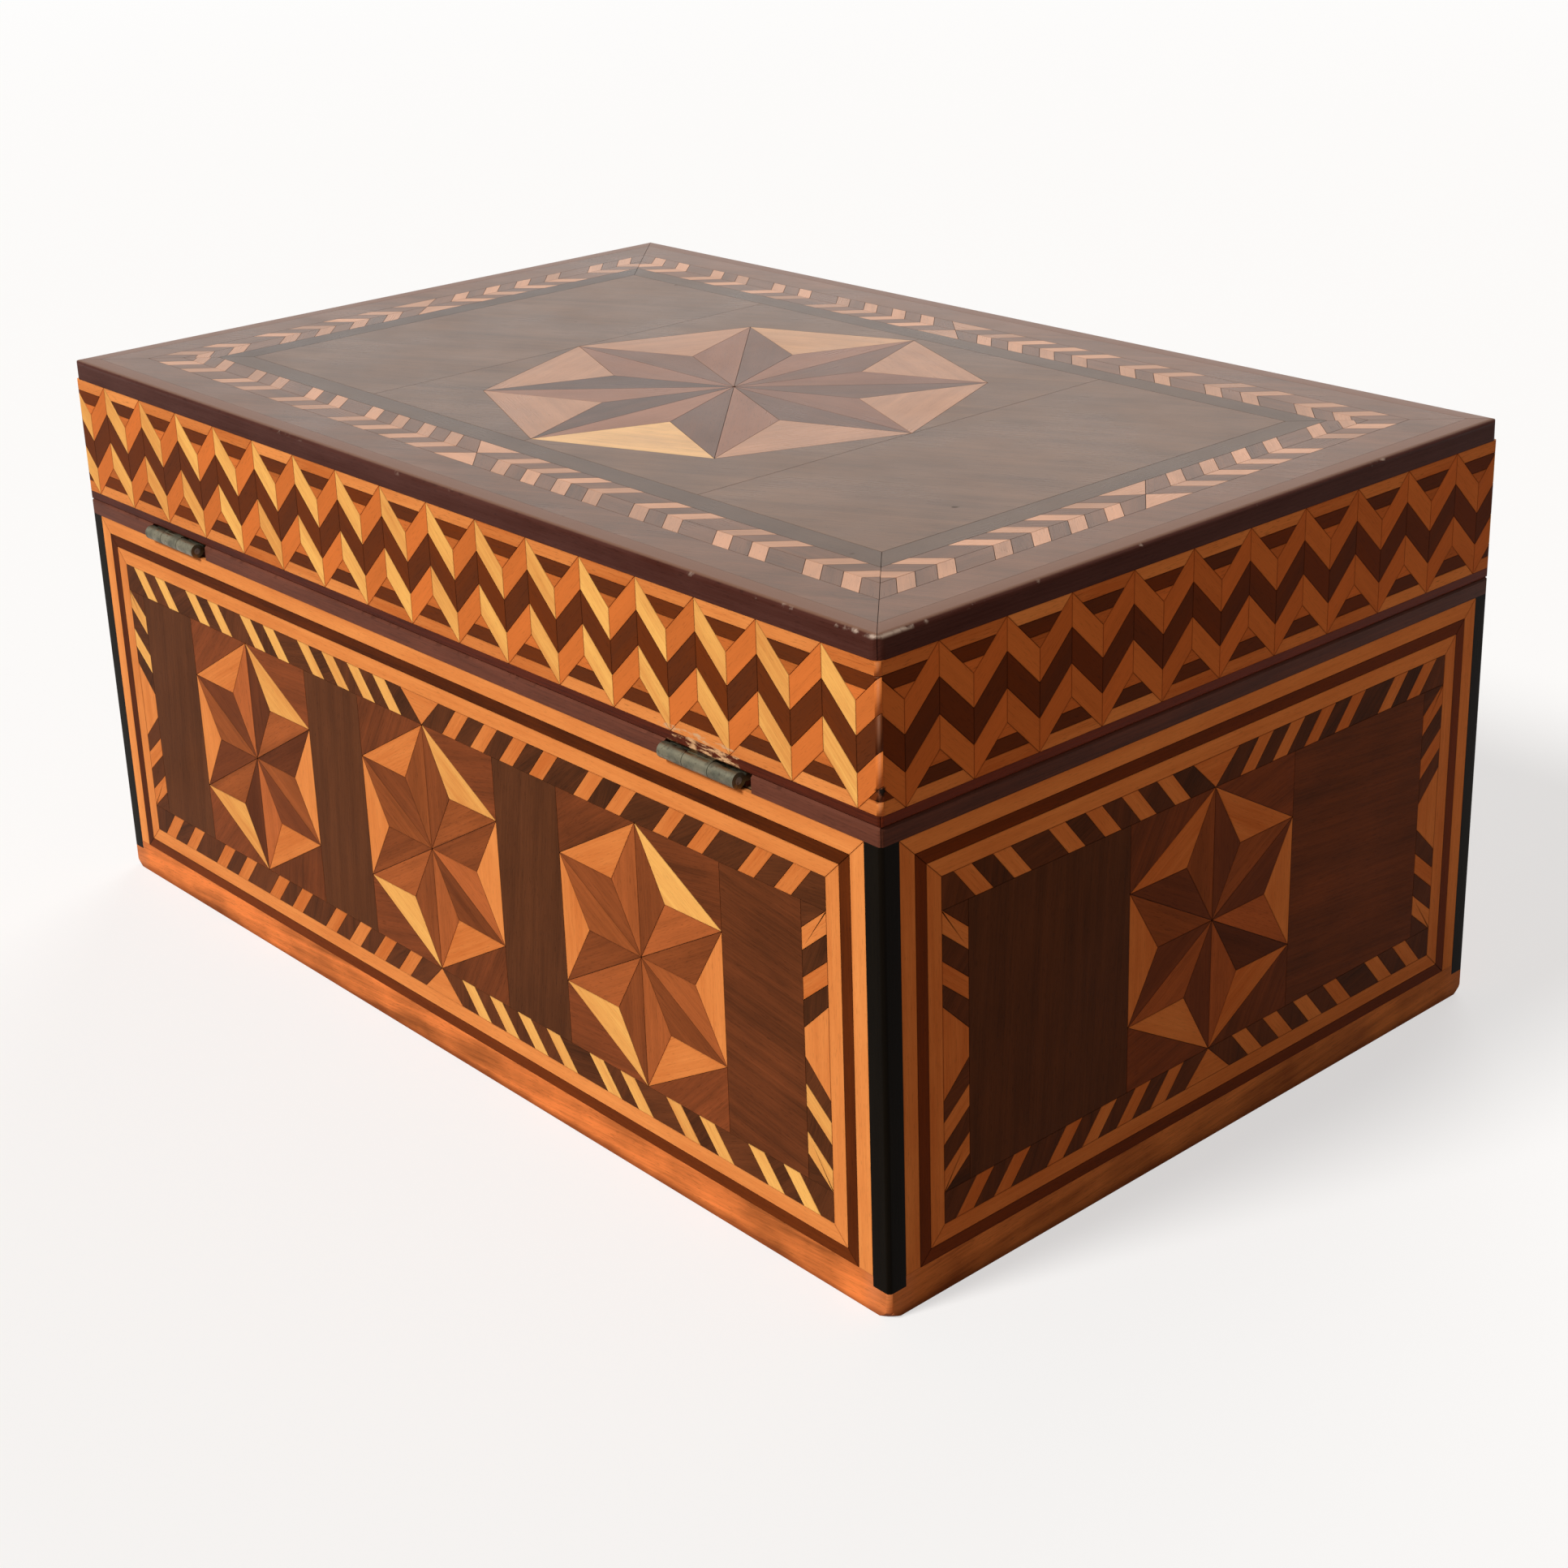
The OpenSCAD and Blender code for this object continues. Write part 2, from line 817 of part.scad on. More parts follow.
// The eased edges: a groove round the joint, half in the rim and half in the lip
module joint_groove() {
    side = joint_ease * sqrt(2);
    for (turn = [0:90:270]) {
        rotate([0, 0, turn])
            translate([0, turn % 180 == 0 ? -half_d : -half_l, joint_z])
                rotate([45, 0, 0])
                    cube([box_l + box_d, side, side], center = true);
    }
}

module base_rim() {
    color([0.2, 0.1, 0.08])
        difference() {
            edge_strips(wall_top, rim_h);
            joint_groove();
            hinge_recesses();
            hinge_pilot_holes(box_leaf_top, -1);
            lock_pocket();
        }
}

// Cuts in the rim for the hinges: a flat recess for both leaves, a deeper one for the barrel,
// and the open part of the notch beside it
module hinge_recesses() {
    for (x = hinge_xs) {
        translate([x - hinge_l / 2 - leaf_play, pin_y - leaf_w - leaf_play, box_leaf_z - let_in])
            cube([hinge_l + 2 * leaf_play, leaf_w + past, joint_z]);
        translate([x - hinge_l / 2 - barrel_play, pin_y - barrel_r - barrel_play, wall_top - past])
            cube([hinge_l + 2 * barrel_play, barrel_r + 2 * past, rim_h + 2 * past]);
        translate([x - hinge_l / 2 - notch_spare, half_d - notch_depth, wall_top - past])
            cube([notch_spare, notch_depth + past, rim_h + 2 * past]);
    }
}

module at_hinge_screws() {
    for (x = hinge_xs) {
        for (k = [-1:1]) {
            translate([x + k * hinge_screw_step, leaf_mid_y, 0])
                children();
        }
    }
}

// Holes for the shanks, from height z upwards or downwards
module hinge_pilot_holes(z, way) {
    at_hinge_screws()
        translate([0, 0, way < 0 ? z - screw_l - let_in : z])
            cylinder(r = screw_r + let_in, h = screw_l + let_in);
}

// A countersunk screw with its head's face at z = 0, pointing down
module wood_screw(length) {
    difference() {
        union() {
            translate([0, 0, -head_h])
                cylinder(r1 = screw_r, r2 = screw_head_r, h = head_h);
            translate([0, 0, -length])
                cylinder(r = screw_r, h = length - (head_h + slot_deep) / 2);
        }
        translate([-screw_head_r - past, -slot_w / 2, -slot_deep])
            cube([2 * screw_head_r + 2 * past, slot_w, slot_deep + past]);
    }
}

// What a screw takes out of a plate whose face is at z = 0
module plate_hole(t) {
    translate([0, 0, -head_h])
        cylinder(r1 = screw_r + let_in, r2 = screw_head_r + let_in, h = head_h);
    translate([0, 0, -t - past])
        cylinder(r = screw_r + let_in, h = t + past);
    translate([0, 0, -0.001])
        cylinder(r = screw_head_r + let_in, h = past);
}

// Knuckles of a leaf: two for the box, one between them for the lid, with the web that joins
// each to its leaf, from height z0 to z1
module knuckle(x0, x1, z0, z1) {
    translate([x0, pin_y, pin_z])
        rotate([0, 90, 0])
            cylinder(r = barrel_r, h = x1 - x0);
    translate([x0, pin_y - barrel_r - 2 * barrel_play, z0])
        cube([x1 - x0, barrel_r + 2 * barrel_play, z1 - z0]);
}

module leaf_plate(x, z) {
    translate([x - hinge_l / 2, pin_y - leaf_w, z])
        cube([hinge_l, leaf_w - barrel_r - barrel_play, leaf_t]);
}

module pin_bore() {
    for (x = hinge_xs) {
        translate([x, pin_y, pin_z])
            rotate([0, 90, 0])
                cylinder(r = hinge_pin_r + pin_play, h = hinge_l + 2 * past, center = true);
    }
}

module hinge_box_leaves() {
    color([0.55, 0.5, 0.36])
        difference() {
            for (x = hinge_xs) {
                leaf_plate(x, box_leaf_z);
                knuckle(x - hinge_l / 2, x - knuckle_l / 2 - knuckle_gap,
                    box_leaf_z, box_leaf_top);
                knuckle(x + knuckle_l / 2 + knuckle_gap, x + hinge_l / 2,
                    box_leaf_z, box_leaf_top);
            }
            pin_bore();
            translate([0, 0, box_leaf_top])
                at_hinge_screws()
                    plate_hole(leaf_t);
        }
}

module hinge_lid_leaves() {
    color([0.55, 0.5, 0.36])
        difference() {
            for (x = hinge_xs) {
                leaf_plate(x, lid_leaf_z);
                knuckle(x - knuckle_l / 2, x + knuckle_l / 2, lid_leaf_z, joint_z);
            }
            pin_bore();
            translate([0, 0, lid_leaf_z])
                at_hinge_screws()
                    mirror([0, 0, 1])
                        plate_hole(leaf_t);
        }
}

module hinge_pins() {
    color([0.5, 0.5, 0.48])
        for (x = hinge_xs) {
            translate([x, pin_y, pin_z])
                rotate([0, 90, 0])
                    cylinder(r = hinge_pin_r, h = hinge_l, center = true);
        }
}

module hinge_box_screws() {
    color([0.45, 0.42, 0.36])
        translate([0, 0, box_leaf_top])
            at_hinge_screws()
                wood_screw(screw_l);
}

module hinge_lid_screws() {
    color([0.45, 0.42, 0.36])
        translate([0, 0, lid_leaf_z])
            at_hinge_screws()
                mirror([0, 0, 1])
                    wood_screw(screw_l);
}

// Lock. Its pocket in the rim and the front board, open to the inside of the box
module lock_pocket() {
    translate([-case_half - let_in, lock_front_y - let_in, lock_bottom - let_in])
        cube([2 * (case_half + let_in), inner_y - lock_front_y + past, lock_h + past]);
    translate([-lock_l / 2 - let_in, inner_y - lock_plate_t - let_in, lock_bottom - let_in])
        cube([lock_l + 2 * let_in, lock_plate_t + past, lock_h + past]);
    translate([-lock_l / 2 - let_in, inner_y - lock_top_w - let_in, case_top - let_in])
        cube([lock_l + 2 * let_in, lock_top_w + past, lock_plate_t + past]);
}

module at_lock_screws() {
    for (x = [-plate_screw_x, plate_screw_x]) {
        for (z = [lock_screw_low, lock_screw_high]) {
            translate([x, inner_y, z])
                rotate([-90, 0, 0])
                    children();
        }
    }
}

module lock_pilot_holes() {
    at_lock_screws()
        translate([0, 0, -lock_screw_l - let_in])
            cylinder(r = screw_r + let_in, h = lock_screw_l + past);
}

// Keyhole through a thickness that starts at y, wider all round by grow
module keyhole_cut(y, t, grow) {
    translate([0, y + t + past, key_z])
        rotate([90, 0, 0])
            cylinder(r = key_r + grow, h = t + 2 * past);
    translate([-key_slot_w / 2 - grow, y - past, key_z - key_slot_l - grow])
        cube([key_slot_w + 2 * grow, t + 2 * past, key_slot_l]);
}

// Outer shape of the escutcheon in the veneer, wider all round by grow
module escutcheon_solid(grow) {
    wide = escutcheon_w + grow;
    translate([0, -half_d + veneer_t + (grow > 0 ? past : 0), key_z])
        rotate([90, 0, 0])
            cylinder(r = key_r + wide, h = veneer_t + (grow > 0 ? 2 * past : 0));
    translate([-key_slot_w / 2 - wide, -half_d - (grow > 0 ? past : 0),
        key_z - key_slot_l - wide])
        cube([key_slot_w + 2 * wide, veneer_t + (grow > 0 ? 2 * past : 0),
            key_slot_l + wide]);
}

module escutcheon() {
    color([0.7, 0.58, 0.32])
        difference() {
            escutcheon_solid(0);
            keyhole_cut(-half_d, veneer_t, 0);
        }
}

// Open box for the bolt, with a top plate and a back plate that reach past it
module lock_case() {
    color([0.62, 0.52, 0.3])
        difference() {
            union() {
                translate([-lock_l / 2, inner_y - lock_plate_t, lock_bottom])
                    cube([lock_l, lock_plate_t, lock_h]);
                translate([-lock_l / 2, inner_y - lock_top_w, case_top])
                    cube([lock_l, lock_top_w, lock_plate_t]);
                lock_shell();
                lock_ledges();
                translate([0, inner_y - past / 2, key_z])
                    rotate([90, 0, 0])
                        cylinder(r = key_post_r, h = lock_plate_t + lock_room + lock_wall);
            }
            staple_slots();
            at_lock_screws()
                plate_hole(lock_plate_t);
        }
}

module lock_shell() {
    difference() {
        translate([-case_half, lock_front_y, lock_bottom])
            cube([2 * case_half, lock_room + lock_wall + lock_plate_t / 2, lock_h - lock_plate_t / 2]);
        translate([-case_half + lock_wall, lock_front_y + lock_wall, lock_bottom + lock_wall])
            cube([2 * (case_half - lock_wall), lock_room, case_top - lock_bottom - lock_wall]);
        keyhole_cut(lock_front_y, lock_wall, let_in);
    }
}

// Ledges that carry the bolt, with room for the key between them
module lock_ledges() {
    key_room = 7;
    for (way = [-1, 1]) {
        translate([way > 0 ? key_room : -case_half + lock_wall / 2,
            lock_front_y + lock_wall / 2, bar_z - ledge_play - ledge_h])
            cube([case_half - key_room - lock_wall / 2, lock_room + lock_wall, ledge_h]);
    }
}

module staple_slots() {
    for (x = [-staple_step / 2, staple_step / 2]) {
        translate([x - staple_t / 2 - staple_play, staple_y - staple_w / 2 - staple_play,
            case_top - past])
            cube([staple_t + 2 * staple_play, staple_w + 2 * staple_play, lock_plate_t + 2 * past]);
    }
}

// The bolt is drawn back. Each finger ends short of a staple's eye, and enters it along +X
module lock_bolt() {
    finger_end = -staple_t / 2 - finger_rest;
    post_x = finger_end - bolt_travel - post_w;
    color([0.5, 0.5, 0.48])
        difference() {
            union() {
                for (x = [-staple_step / 2, staple_step / 2]) {
                    translate([x + post_x, staple_y - bolt_t / 2, bar_z])
                        cube([post_w, bolt_t, eye_bottom + staple_play + finger_h - bar_z]);
                    translate([x + post_x, staple_y - finger_t / 2, eye_bottom + staple_play])
                        cube([finger_end - post_x, finger_t, finger_h]);
                }
                translate([-staple_step / 2 + post_x, staple_y - bolt_t / 2, bar_z])
                    cube([staple_step + 2 * post_w, bolt_t, bar_h]);
            }
            translate([-key_slot_w, staple_y - bolt_t / 2 - past, bar_z - past])
                cube([2 * key_slot_w, bolt_t + 2 * past, bar_h / 2 + past]);
        }
}

module lock_screws() {
    color([0.45, 0.42, 0.36])
        at_lock_screws()
            wood_screw(lock_screw_l);
}

// Lid frame
module lid_back_rail() {
    color([0.72, 0.54, 0.34])
        difference() {
            long_board(lid_frame_z, lid_board_z, lid_tails);
            hinge_pilot_holes(lid_leaf_z, 1);
        }
}

module lid_front_rail() {
    color([0.72, 0.54, 0.34])
        difference() {
            mirror([0, 1, 0])
                long_board(lid_frame_z, lid_board_z, lid_tails);
            link_pilot_holes();
        }
}

module lid_right_rail() {
    color([0.72, 0.54, 0.34])
        end_board(lid_frame_z, lid_board_z, lid_tails);
}

module lid_left_rail() {
    mirror([1, 0, 0])
        lid_right_rail();
}

// Lid board, rebated round its top edge for the moulding
module lid_board() {
    rebate_h = moulding_h - veneer_t;
    color([0.72, 0.54, 0.34]) {
        translate([-half_l + veneer_t, -half_d + veneer_t, lid_board_z])
            cube([box_l - 2 * veneer_t, box_d - 2 * veneer_t, lid_board_t - rebate_h]);
        translate([-half_l + moulding_w, -half_d + moulding_w, lid_board_z])
            cube([box_l - 2 * moulding_w, box_d - 2 * moulding_w, lid_board_t]);
    }
}

module lid_lip() {
    color([0.3, 0.1, 0.07])
        difference() {
            edge_strips(joint_z, lip_h);
            joint_groove();
            hinge_pilot_holes(lid_leaf_z, 1);
            link_recess();
            link_pilot_holes();
        }
}

// One strip of moulding: its section runs along the front of the box, its top edge is round
module moulding_section(half) {
    translate([-half, -half_d, box_h - moulding_h])
        rotate([90, 0, 90])
            linear_extrude(2 * half)
                union() {
                    square([moulding_w, moulding_h - moulding_r]);
                    translate([moulding_r, 0])
                        square([moulding_w - moulding_r, moulding_h]);
                    translate([moulding_r, moulding_h - moulding_r])
                        circle(r = moulding_r);
                }
}

module moulding_strip(turn, half, half_across) {
    intersection() {
        rotate([0, 0, turn])
            translate([0, half_d - half_across, 0])
                moulding_section(half);
        translate([0, 0, box_h - moulding_h - past])
            piece(sawn(outer_strips(moulding_w + past)[turn / 90]), moulding_h + 2 * past);
        rounded_block(box_h - moulding_h - past, moulding_h + 2 * past, moulding_corner_r);
    }
}

module lid_moulding() {
    color([0.2, 0.1, 0.08]) {
        moulding_strip(0, half_l, half_d);
        moulding_strip(90, half_d, half_l);
        moulding_strip(180, half_l, half_d);
        moulding_strip(270, half_d, half_l);
    }
}

// Zigzag band. x0 is a wave's middle, where the triangle above the zigzag points down.
// Every arm has upright ends, and runs from a valley at x0 to a peak half a wave to its side.
function waves(side) =
    let (count = ceil(side[2] / wave_l) + 1)
    [for (k = [-count:count]) k * wave_l];
function band_cut(list, side) = [
    for (p = list)
        let (a = kept_side(sawn(p), [1, 0], side[2]))
        let (b = len(a) > 2 ? kept_side(a, [-1, 0], side[2]) : [])
        if (len(b) > 2) b
];
// An arm whose lower edge leaves the valley at height z
function arm(x0, way, z, thick) = [
    [x0, z],
    [x0 + way * wave_l / 2, z + wave_rise],
    [x0 + way * wave_l / 2, z + wave_rise + thick],
    [x0, z + thick]
];
function arms(side, z, thick) = band_cut([
    for (x0 = waves(side))
        for (way = [-1, 1])
            arm(x0, way, lid_frame_z + z, thick)
], side);

// Layers of the triangles between the arms: at d0 to d1 from the triangle's base
function layer_half(d) = (wave_rise - d) / wave_slope;
function layer(x, base, way, d0, d1) = [
    [x - layer_half(d0), base + way * d0],
    [x + layer_half(d0), base + way * d0],
    [x + layer_half(d1), base + way * d1],
    [x - layer_half(d1), base + way * d1]
];
function tip(x, base, way, d0) = [
    [x - layer_half(d0), base + way * d0],
    [x + layer_half(d0), base + way * d0],
    [x, base + way * wave_rise]
];
function upper_triangles(side) = [for (x = waves(side)) [x, band_top, -1]];
function lower_triangles(side) = [for (x = waves(side)) [x + wave_l / 2, lid_frame_z, 1]];
function triangles(side) = concat(upper_triangles(side), lower_triangles(side));
function layers(side, d0, d1) = band_cut(
    [for (t = triangles(side)) layer(t[0], t[1], t[2], d0, d1)], side);
function tips(side, d0) = band_cut(
    [for (t = triangles(side)) tip(t[0], t[1], t[2], d0)], side);

function reaches_corner(p) = max([for (q = p) abs(q.x)]) > half_l - corner_r;
module band_pieces(lists) {
    for (k = [0:3]) {
        on_side(SIDES[k])
            pieces([for (p = lists[k]) if (!reaches_corner(p)) p]);
    }
    if (len([for (list = lists) for (p = list) if (reaches_corner(p)) p]) > 0) {
        intersection() {
            for (k = [0:3]) {
                on_side(SIDES[k])
                    pieces([for (p = lists[k]) if (reaches_corner(p)) p]);
            }
            rounded_block(lid_frame_z - past, band_h + 2 * past, corner_r);
        }
    }
}

module band_light_arms() {
    color([0.86, 0.6, 0.33])
        band_pieces([
            for (s = SIDES)
                concat(arms(s, 0, light_arm_h), arms(s, light_arm_h + dark_arm_h, light_arm_h))
        ]);
}

module band_dark_arms() {
    color([0.24, 0.12, 0.08])
        band_pieces([for (s = SIDES) arms(s, light_arm_h, dark_arm_h)]);
}

module band_dark_blocks() {
    color([0.3, 0.12, 0.07])
        band_pieces([for (s = SIDES) layers(s, block_gap, block_gap + block_h)]);
}

module band_amber_tips() {
    color([0.6, 0.36, 0.16])
        band_pieces([for (s = SIDES) tips(s, block_gap + block_h)]);
}

module band_light_strips() {
    color([0.82, 0.52, 0.3])
        band_pieces([for (s = SIDES) layers(s, 0, block_gap)]);
}

// Lid top. The chevron border is two rows of teeth back to back on each side.
// Distance from the middle of the border's line to the edges, for its long and short runs
function chevron_rows(long, across, light) =
    let (inner_row = light
        ? light_row(long, first_tooth, chevron_half, -1, 0, triangle_half)
        : dark_row(long, first_tooth, chevron_half, -1, 0, triangle_half))
    let (outer_row = light
        ? light_row(long, first_tooth, chevron_half, 1, 0, triangle_half)
        : dark_row(long, first_tooth, chevron_half, 1, 0, triangle_half))
    concat(set_row(outer_row, across), set_flipped(inner_row, across));
function all_chevrons(light) =
    let (mid_x = half_l - margin_w - chevron_half, mid_y = half_d - margin_w - chevron_half)
    let (long_run = chevron_rows(mid_x, mid_y, light))
    let (short_run = chevron_rows(mid_y, mid_x, light))
    concat(
        long_run,
        [for (p = long_run) flipped(p)],
        [for (p = short_run) swapped(p)],
        [for (p = short_run) mirrored(swapped(p))]
    );

module top_chevrons() {
    color([0.8, 0.6, 0.42])
        on_top()
            pieces(all_chevrons(true));
}

module top_chevron_ground() {
    color([0.3, 0.19, 0.13])
        on_top()
            pieces(all_chevrons(false));
}

// Ground in a corner of the tile round the octagon
function octagon_corner(sx, sy) = [
    [sx * top_star_r, 0],
    [sx * top_star_r, sy * top_half_y],
    if (top_half_y - top_star_r > saw_line) [0, sy * top_half_y],
    [0, sy * top_star_r],
    [sx * top_star_r * cos(45), sy * top_star_r * sin(45)]
];

module top_ground() {
    margin = margin_w - moulding_w;
    color([0.3, 0.2, 0.14])
        on_top() {
            sawn_pieces(frame_strips(-half_l + moulding_w, -half_d + moulding_w,
                half_l - moulding_w, half_d - moulding_w, margin));
            for (sx = [-1, 1]) {
                piece(sawn(rect(sx * top_star_r, -top_half_y, sx * top_half_x, top_half_y)));
                for (sy = [-1, 1]) {
                    piece(sawn(octagon_corner(sx, sy)));
                }
            }
        }
}

module top_frame() {
    color([0.22, 0.14, 0.1])
        on_top()
            sawn_pieces(frame_strips(-half_l + frame_in, -half_d + frame_in,
                half_l - frame_in, half_d - frame_in, frame_w));
}

module top_star_light() {
    color([0.82, 0.6, 0.42])
        on_top()
            sawn_pieces(star_light(8, top_star_r, octagon_notch_r, 0, [0, 0]));
}

module top_star_brown() {
    color([0.55, 0.36, 0.24])
        on_top()
            sawn_pieces(star_half(8, top_star_r, octagon_notch_r, 0, [0, 0], 1));
}

module top_star_dark() {
    color([0.3, 0.2, 0.15])
        on_top()
            sawn_pieces(star_half(8, top_star_r, octagon_notch_r, 0, [0, 0], -1));
}

// Link plate of the lock, let into the lip, with a staple for each finger of the bolt
module link_recess() {
    translate([-lock_l / 2 - let_in, inner_y - lock_top_w - let_in, joint_z - past])
        cube([lock_l + 2 * let_in, lock_top_w + 2 * let_in, lock_plate_t + let_in + past]);
}

module at_link_screws() {
    for (x = [-plate_screw_x, plate_screw_x]) {
        translate([x, link_screw_y, joint_z])
            mirror([0, 0, 1])
                children();
    }
}

module link_pilot_holes() {
    at_link_screws()
        translate([0, 0, -screw_l - let_in])
            cylinder(r = screw_r + let_in, h = screw_l + past);
}

module link_plate() {
    color([0.62, 0.52, 0.3])
        difference() {
            union() {
                translate([-lock_l / 2, inner_y - lock_top_w, joint_z])
                    cube([lock_l, lock_top_w, lock_plate_t]);
                for (x = [-staple_step / 2, staple_step / 2]) {
                    translate([x - staple_t / 2, staple_y - staple_w / 2, joint_z - staple_l])
                        cube([staple_t, staple_w, staple_l + lock_plate_t / 2]);
                }
            }
            translate([-lock_l / 2, staple_y - staple_w / 2 + staple_wall, eye_bottom])
                cube([lock_l, staple_w - 2 * staple_wall, eye_h]);
            at_link_screws()
                plate_hole(lock_plate_t);
        }
}

module link_plate_screws() {
    color([0.45, 0.42, 0.36])
        at_link_screws()
            wood_screw(screw_l);
}

back_board();
front_board();
left_board();
right_board();
bottom_board();
foot_banding();
corner_strings();
base_rim();
border_light_lines();
border_dark_lines();
back_ground();
back_light_inlay();
back_brown_inlay();
back_dark_inlay();
front_ground();
front_light_inlay();
front_brown_inlay();
front_dark_inlay();
left_ground();
left_light_inlay();
left_brown_inlay();
left_dark_inlay();
right_ground();
right_light_inlay();
right_brown_inlay();
right_dark_inlay();
hinge_box_leaves();
hinge_pins();
hinge_box_screws();
lock_case();
lock_bolt();
lock_screws();
escutcheon();
lid_back_rail();
lid_front_rail();
lid_left_rail();
lid_right_rail();
lid_board();
lid_lip();
lid_moulding();
band_light_arms();
band_dark_arms();
band_dark_blocks();
band_amber_tips();
band_light_strips();
top_ground();
top_frame();
top_chevrons();
top_chevron_ground();
top_star_light();
top_star_brown();
top_star_dark();
hinge_lid_leaves();
hinge_lid_screws();
link_plate();
link_plate_screws();
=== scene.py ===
"""Finish of a marquetry box: woods laid piece by piece, polish, wear, metalwork and stage."""

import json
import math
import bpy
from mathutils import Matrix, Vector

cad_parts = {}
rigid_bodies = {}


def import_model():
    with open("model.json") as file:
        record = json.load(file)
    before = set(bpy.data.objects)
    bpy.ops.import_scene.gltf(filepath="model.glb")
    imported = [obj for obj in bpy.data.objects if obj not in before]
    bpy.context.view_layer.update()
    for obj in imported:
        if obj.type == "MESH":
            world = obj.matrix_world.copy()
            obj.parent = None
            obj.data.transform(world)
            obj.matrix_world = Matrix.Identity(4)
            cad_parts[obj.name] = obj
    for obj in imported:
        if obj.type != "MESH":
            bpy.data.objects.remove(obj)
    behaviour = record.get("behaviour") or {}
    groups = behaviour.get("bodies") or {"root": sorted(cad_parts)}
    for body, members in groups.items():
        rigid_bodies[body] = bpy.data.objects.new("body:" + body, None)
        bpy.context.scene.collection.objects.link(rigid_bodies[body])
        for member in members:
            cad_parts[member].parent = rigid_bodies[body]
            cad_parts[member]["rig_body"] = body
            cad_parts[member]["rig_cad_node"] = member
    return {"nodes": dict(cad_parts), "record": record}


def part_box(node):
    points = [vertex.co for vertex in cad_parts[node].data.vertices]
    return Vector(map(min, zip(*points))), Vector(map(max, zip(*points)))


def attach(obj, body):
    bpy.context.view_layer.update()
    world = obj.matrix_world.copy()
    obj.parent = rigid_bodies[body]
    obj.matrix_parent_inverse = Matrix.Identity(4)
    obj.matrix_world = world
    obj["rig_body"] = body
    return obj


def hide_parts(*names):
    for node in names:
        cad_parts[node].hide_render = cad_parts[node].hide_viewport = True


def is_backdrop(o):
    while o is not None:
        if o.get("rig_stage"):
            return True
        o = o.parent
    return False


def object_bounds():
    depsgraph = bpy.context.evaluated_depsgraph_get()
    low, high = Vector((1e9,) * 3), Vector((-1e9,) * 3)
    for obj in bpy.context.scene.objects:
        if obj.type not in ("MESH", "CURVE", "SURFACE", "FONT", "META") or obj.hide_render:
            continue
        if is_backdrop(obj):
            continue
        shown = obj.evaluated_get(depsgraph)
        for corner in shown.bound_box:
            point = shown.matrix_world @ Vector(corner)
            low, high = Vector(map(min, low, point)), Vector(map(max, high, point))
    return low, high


bl_info = {
    "name": "Marquetry Box Finish",
    "version": (1, 0, 0),
    "blender": (4, 5, 0),
    "location": "3D View > Sidebar > Marquetry Box",
    "description": "Lays the woods of a marquetry box and gives them polish, wear and light",
    "category": "Object",
}

from collections import namedtuple

import bmesh
import bpy
from bpy.props import FloatProperty, FloatVectorProperty, PointerProperty
from mathutils import Vector

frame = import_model()
CAD_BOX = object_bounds()

# Sizes, in metres
MM = 0.001
HALF_L, HALF_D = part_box("base_rim")[1][:2]
LID_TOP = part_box("lid_moulding")[1][2]
LIP_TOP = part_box("lid_lip")[1][2]
SKIN = 1.0 * MM
SAW_LINE = 0.12 * MM
HINGE_LENGTH = 23 * MM
NEAR_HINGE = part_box("hinge_lid_leaves")[0][0] + HINGE_LENGTH / 2
NEAR_CORNER = Vector((-HALF_L, HALF_D, LID_TOP))
NAIL_DROP = 30.5 * MM
CORNER_REACH = 12 * MM
MERGE_REACH = 0.004 * MM
FLOOR_RADIUS = 9

# Millimetres from the middle of a side or above the foot, and areas in square millimetres
PANEL_AREA = 600
TILE_AREA = 120
TOP_FIELD = (125, 70)
LAST_PANEL = 40
PLAIN_STAR = -35
HIGH_LINE = 90
FOOT_LINE = 20
GRAIN_SHIFT = 700.0

# Angles in degrees
FLAT_ANGLE = 0.4
SMOOTH_ANGLE = 30
FOOT_GRAIN = 4
TOP_GRAIN = 28

# Strength of the sheen of polished wood
SIDE_POLISH = 0.014
EDGING_POLISH = 0.04
MOULDING_POLISH = 0.03
TOP_POLISH = 0.2

# Colours of wear and dirt, and of painted highlights and shade
# Pale worn chips, partly a painted highlight on the edges
WORN_EDGE_AND_HIGHLIGHT = (0.66, 0.52, 0.42)
WORN_TOP = (0.19, 0.09, 0.052)
# Pale rubbed corners, partly a painted highlight
RUBBED_CORNER_HIGHLIGHT = (0.50, 0.26, 0.16)
RUBBED_FOOT = (0.62, 0.27, 0.15)
BARE_WOOD = (0.70, 0.42, 0.22)
# Darker colour towards the bottom edge of the foot
FOOT_BOTTOM_DARK = (0.16, 0.035, 0.012)
NAIL_HOLE = (0.012, 0.007, 0.005)
SPECK = (0.03, 0.018, 0.012)
# Old glue, also painted shade seen through the saw lines
GLUE_AND_GAP_SHADE = (0.030, 0.010, 0.005)
METAL_GRIME = (0.035, 0.028, 0.018)

# Darkest and lightest colour of some woods of the top
TOP_FRAME = ((0.078, 0.044, 0.026), (0.13, 0.077, 0.046))
TOP_BROWN = ((0.19, 0.08, 0.043), (0.33, 0.145, 0.08))
TOP_DARK = ((0.085, 0.042, 0.024), (0.18, 0.085, 0.05))

# Light and camera
FLOOR_BOUNCE = (0.35, 0.23, 0.17)
WARM_SKY = (1.0, 0.85, 0.72)
WHITE = (1, 1, 1)
KEY_PLACE = (0.16, 0.72, 0.67)
FILL_PLACE = (0.45, -0.75, 0.30)
CAMERA_PLACE = (-0.4628, 0.3936, 0.3038)
CAMERA_TURN = (69.765, 1.731, -131.974)
CAMERA_SHIFT = -0.0963

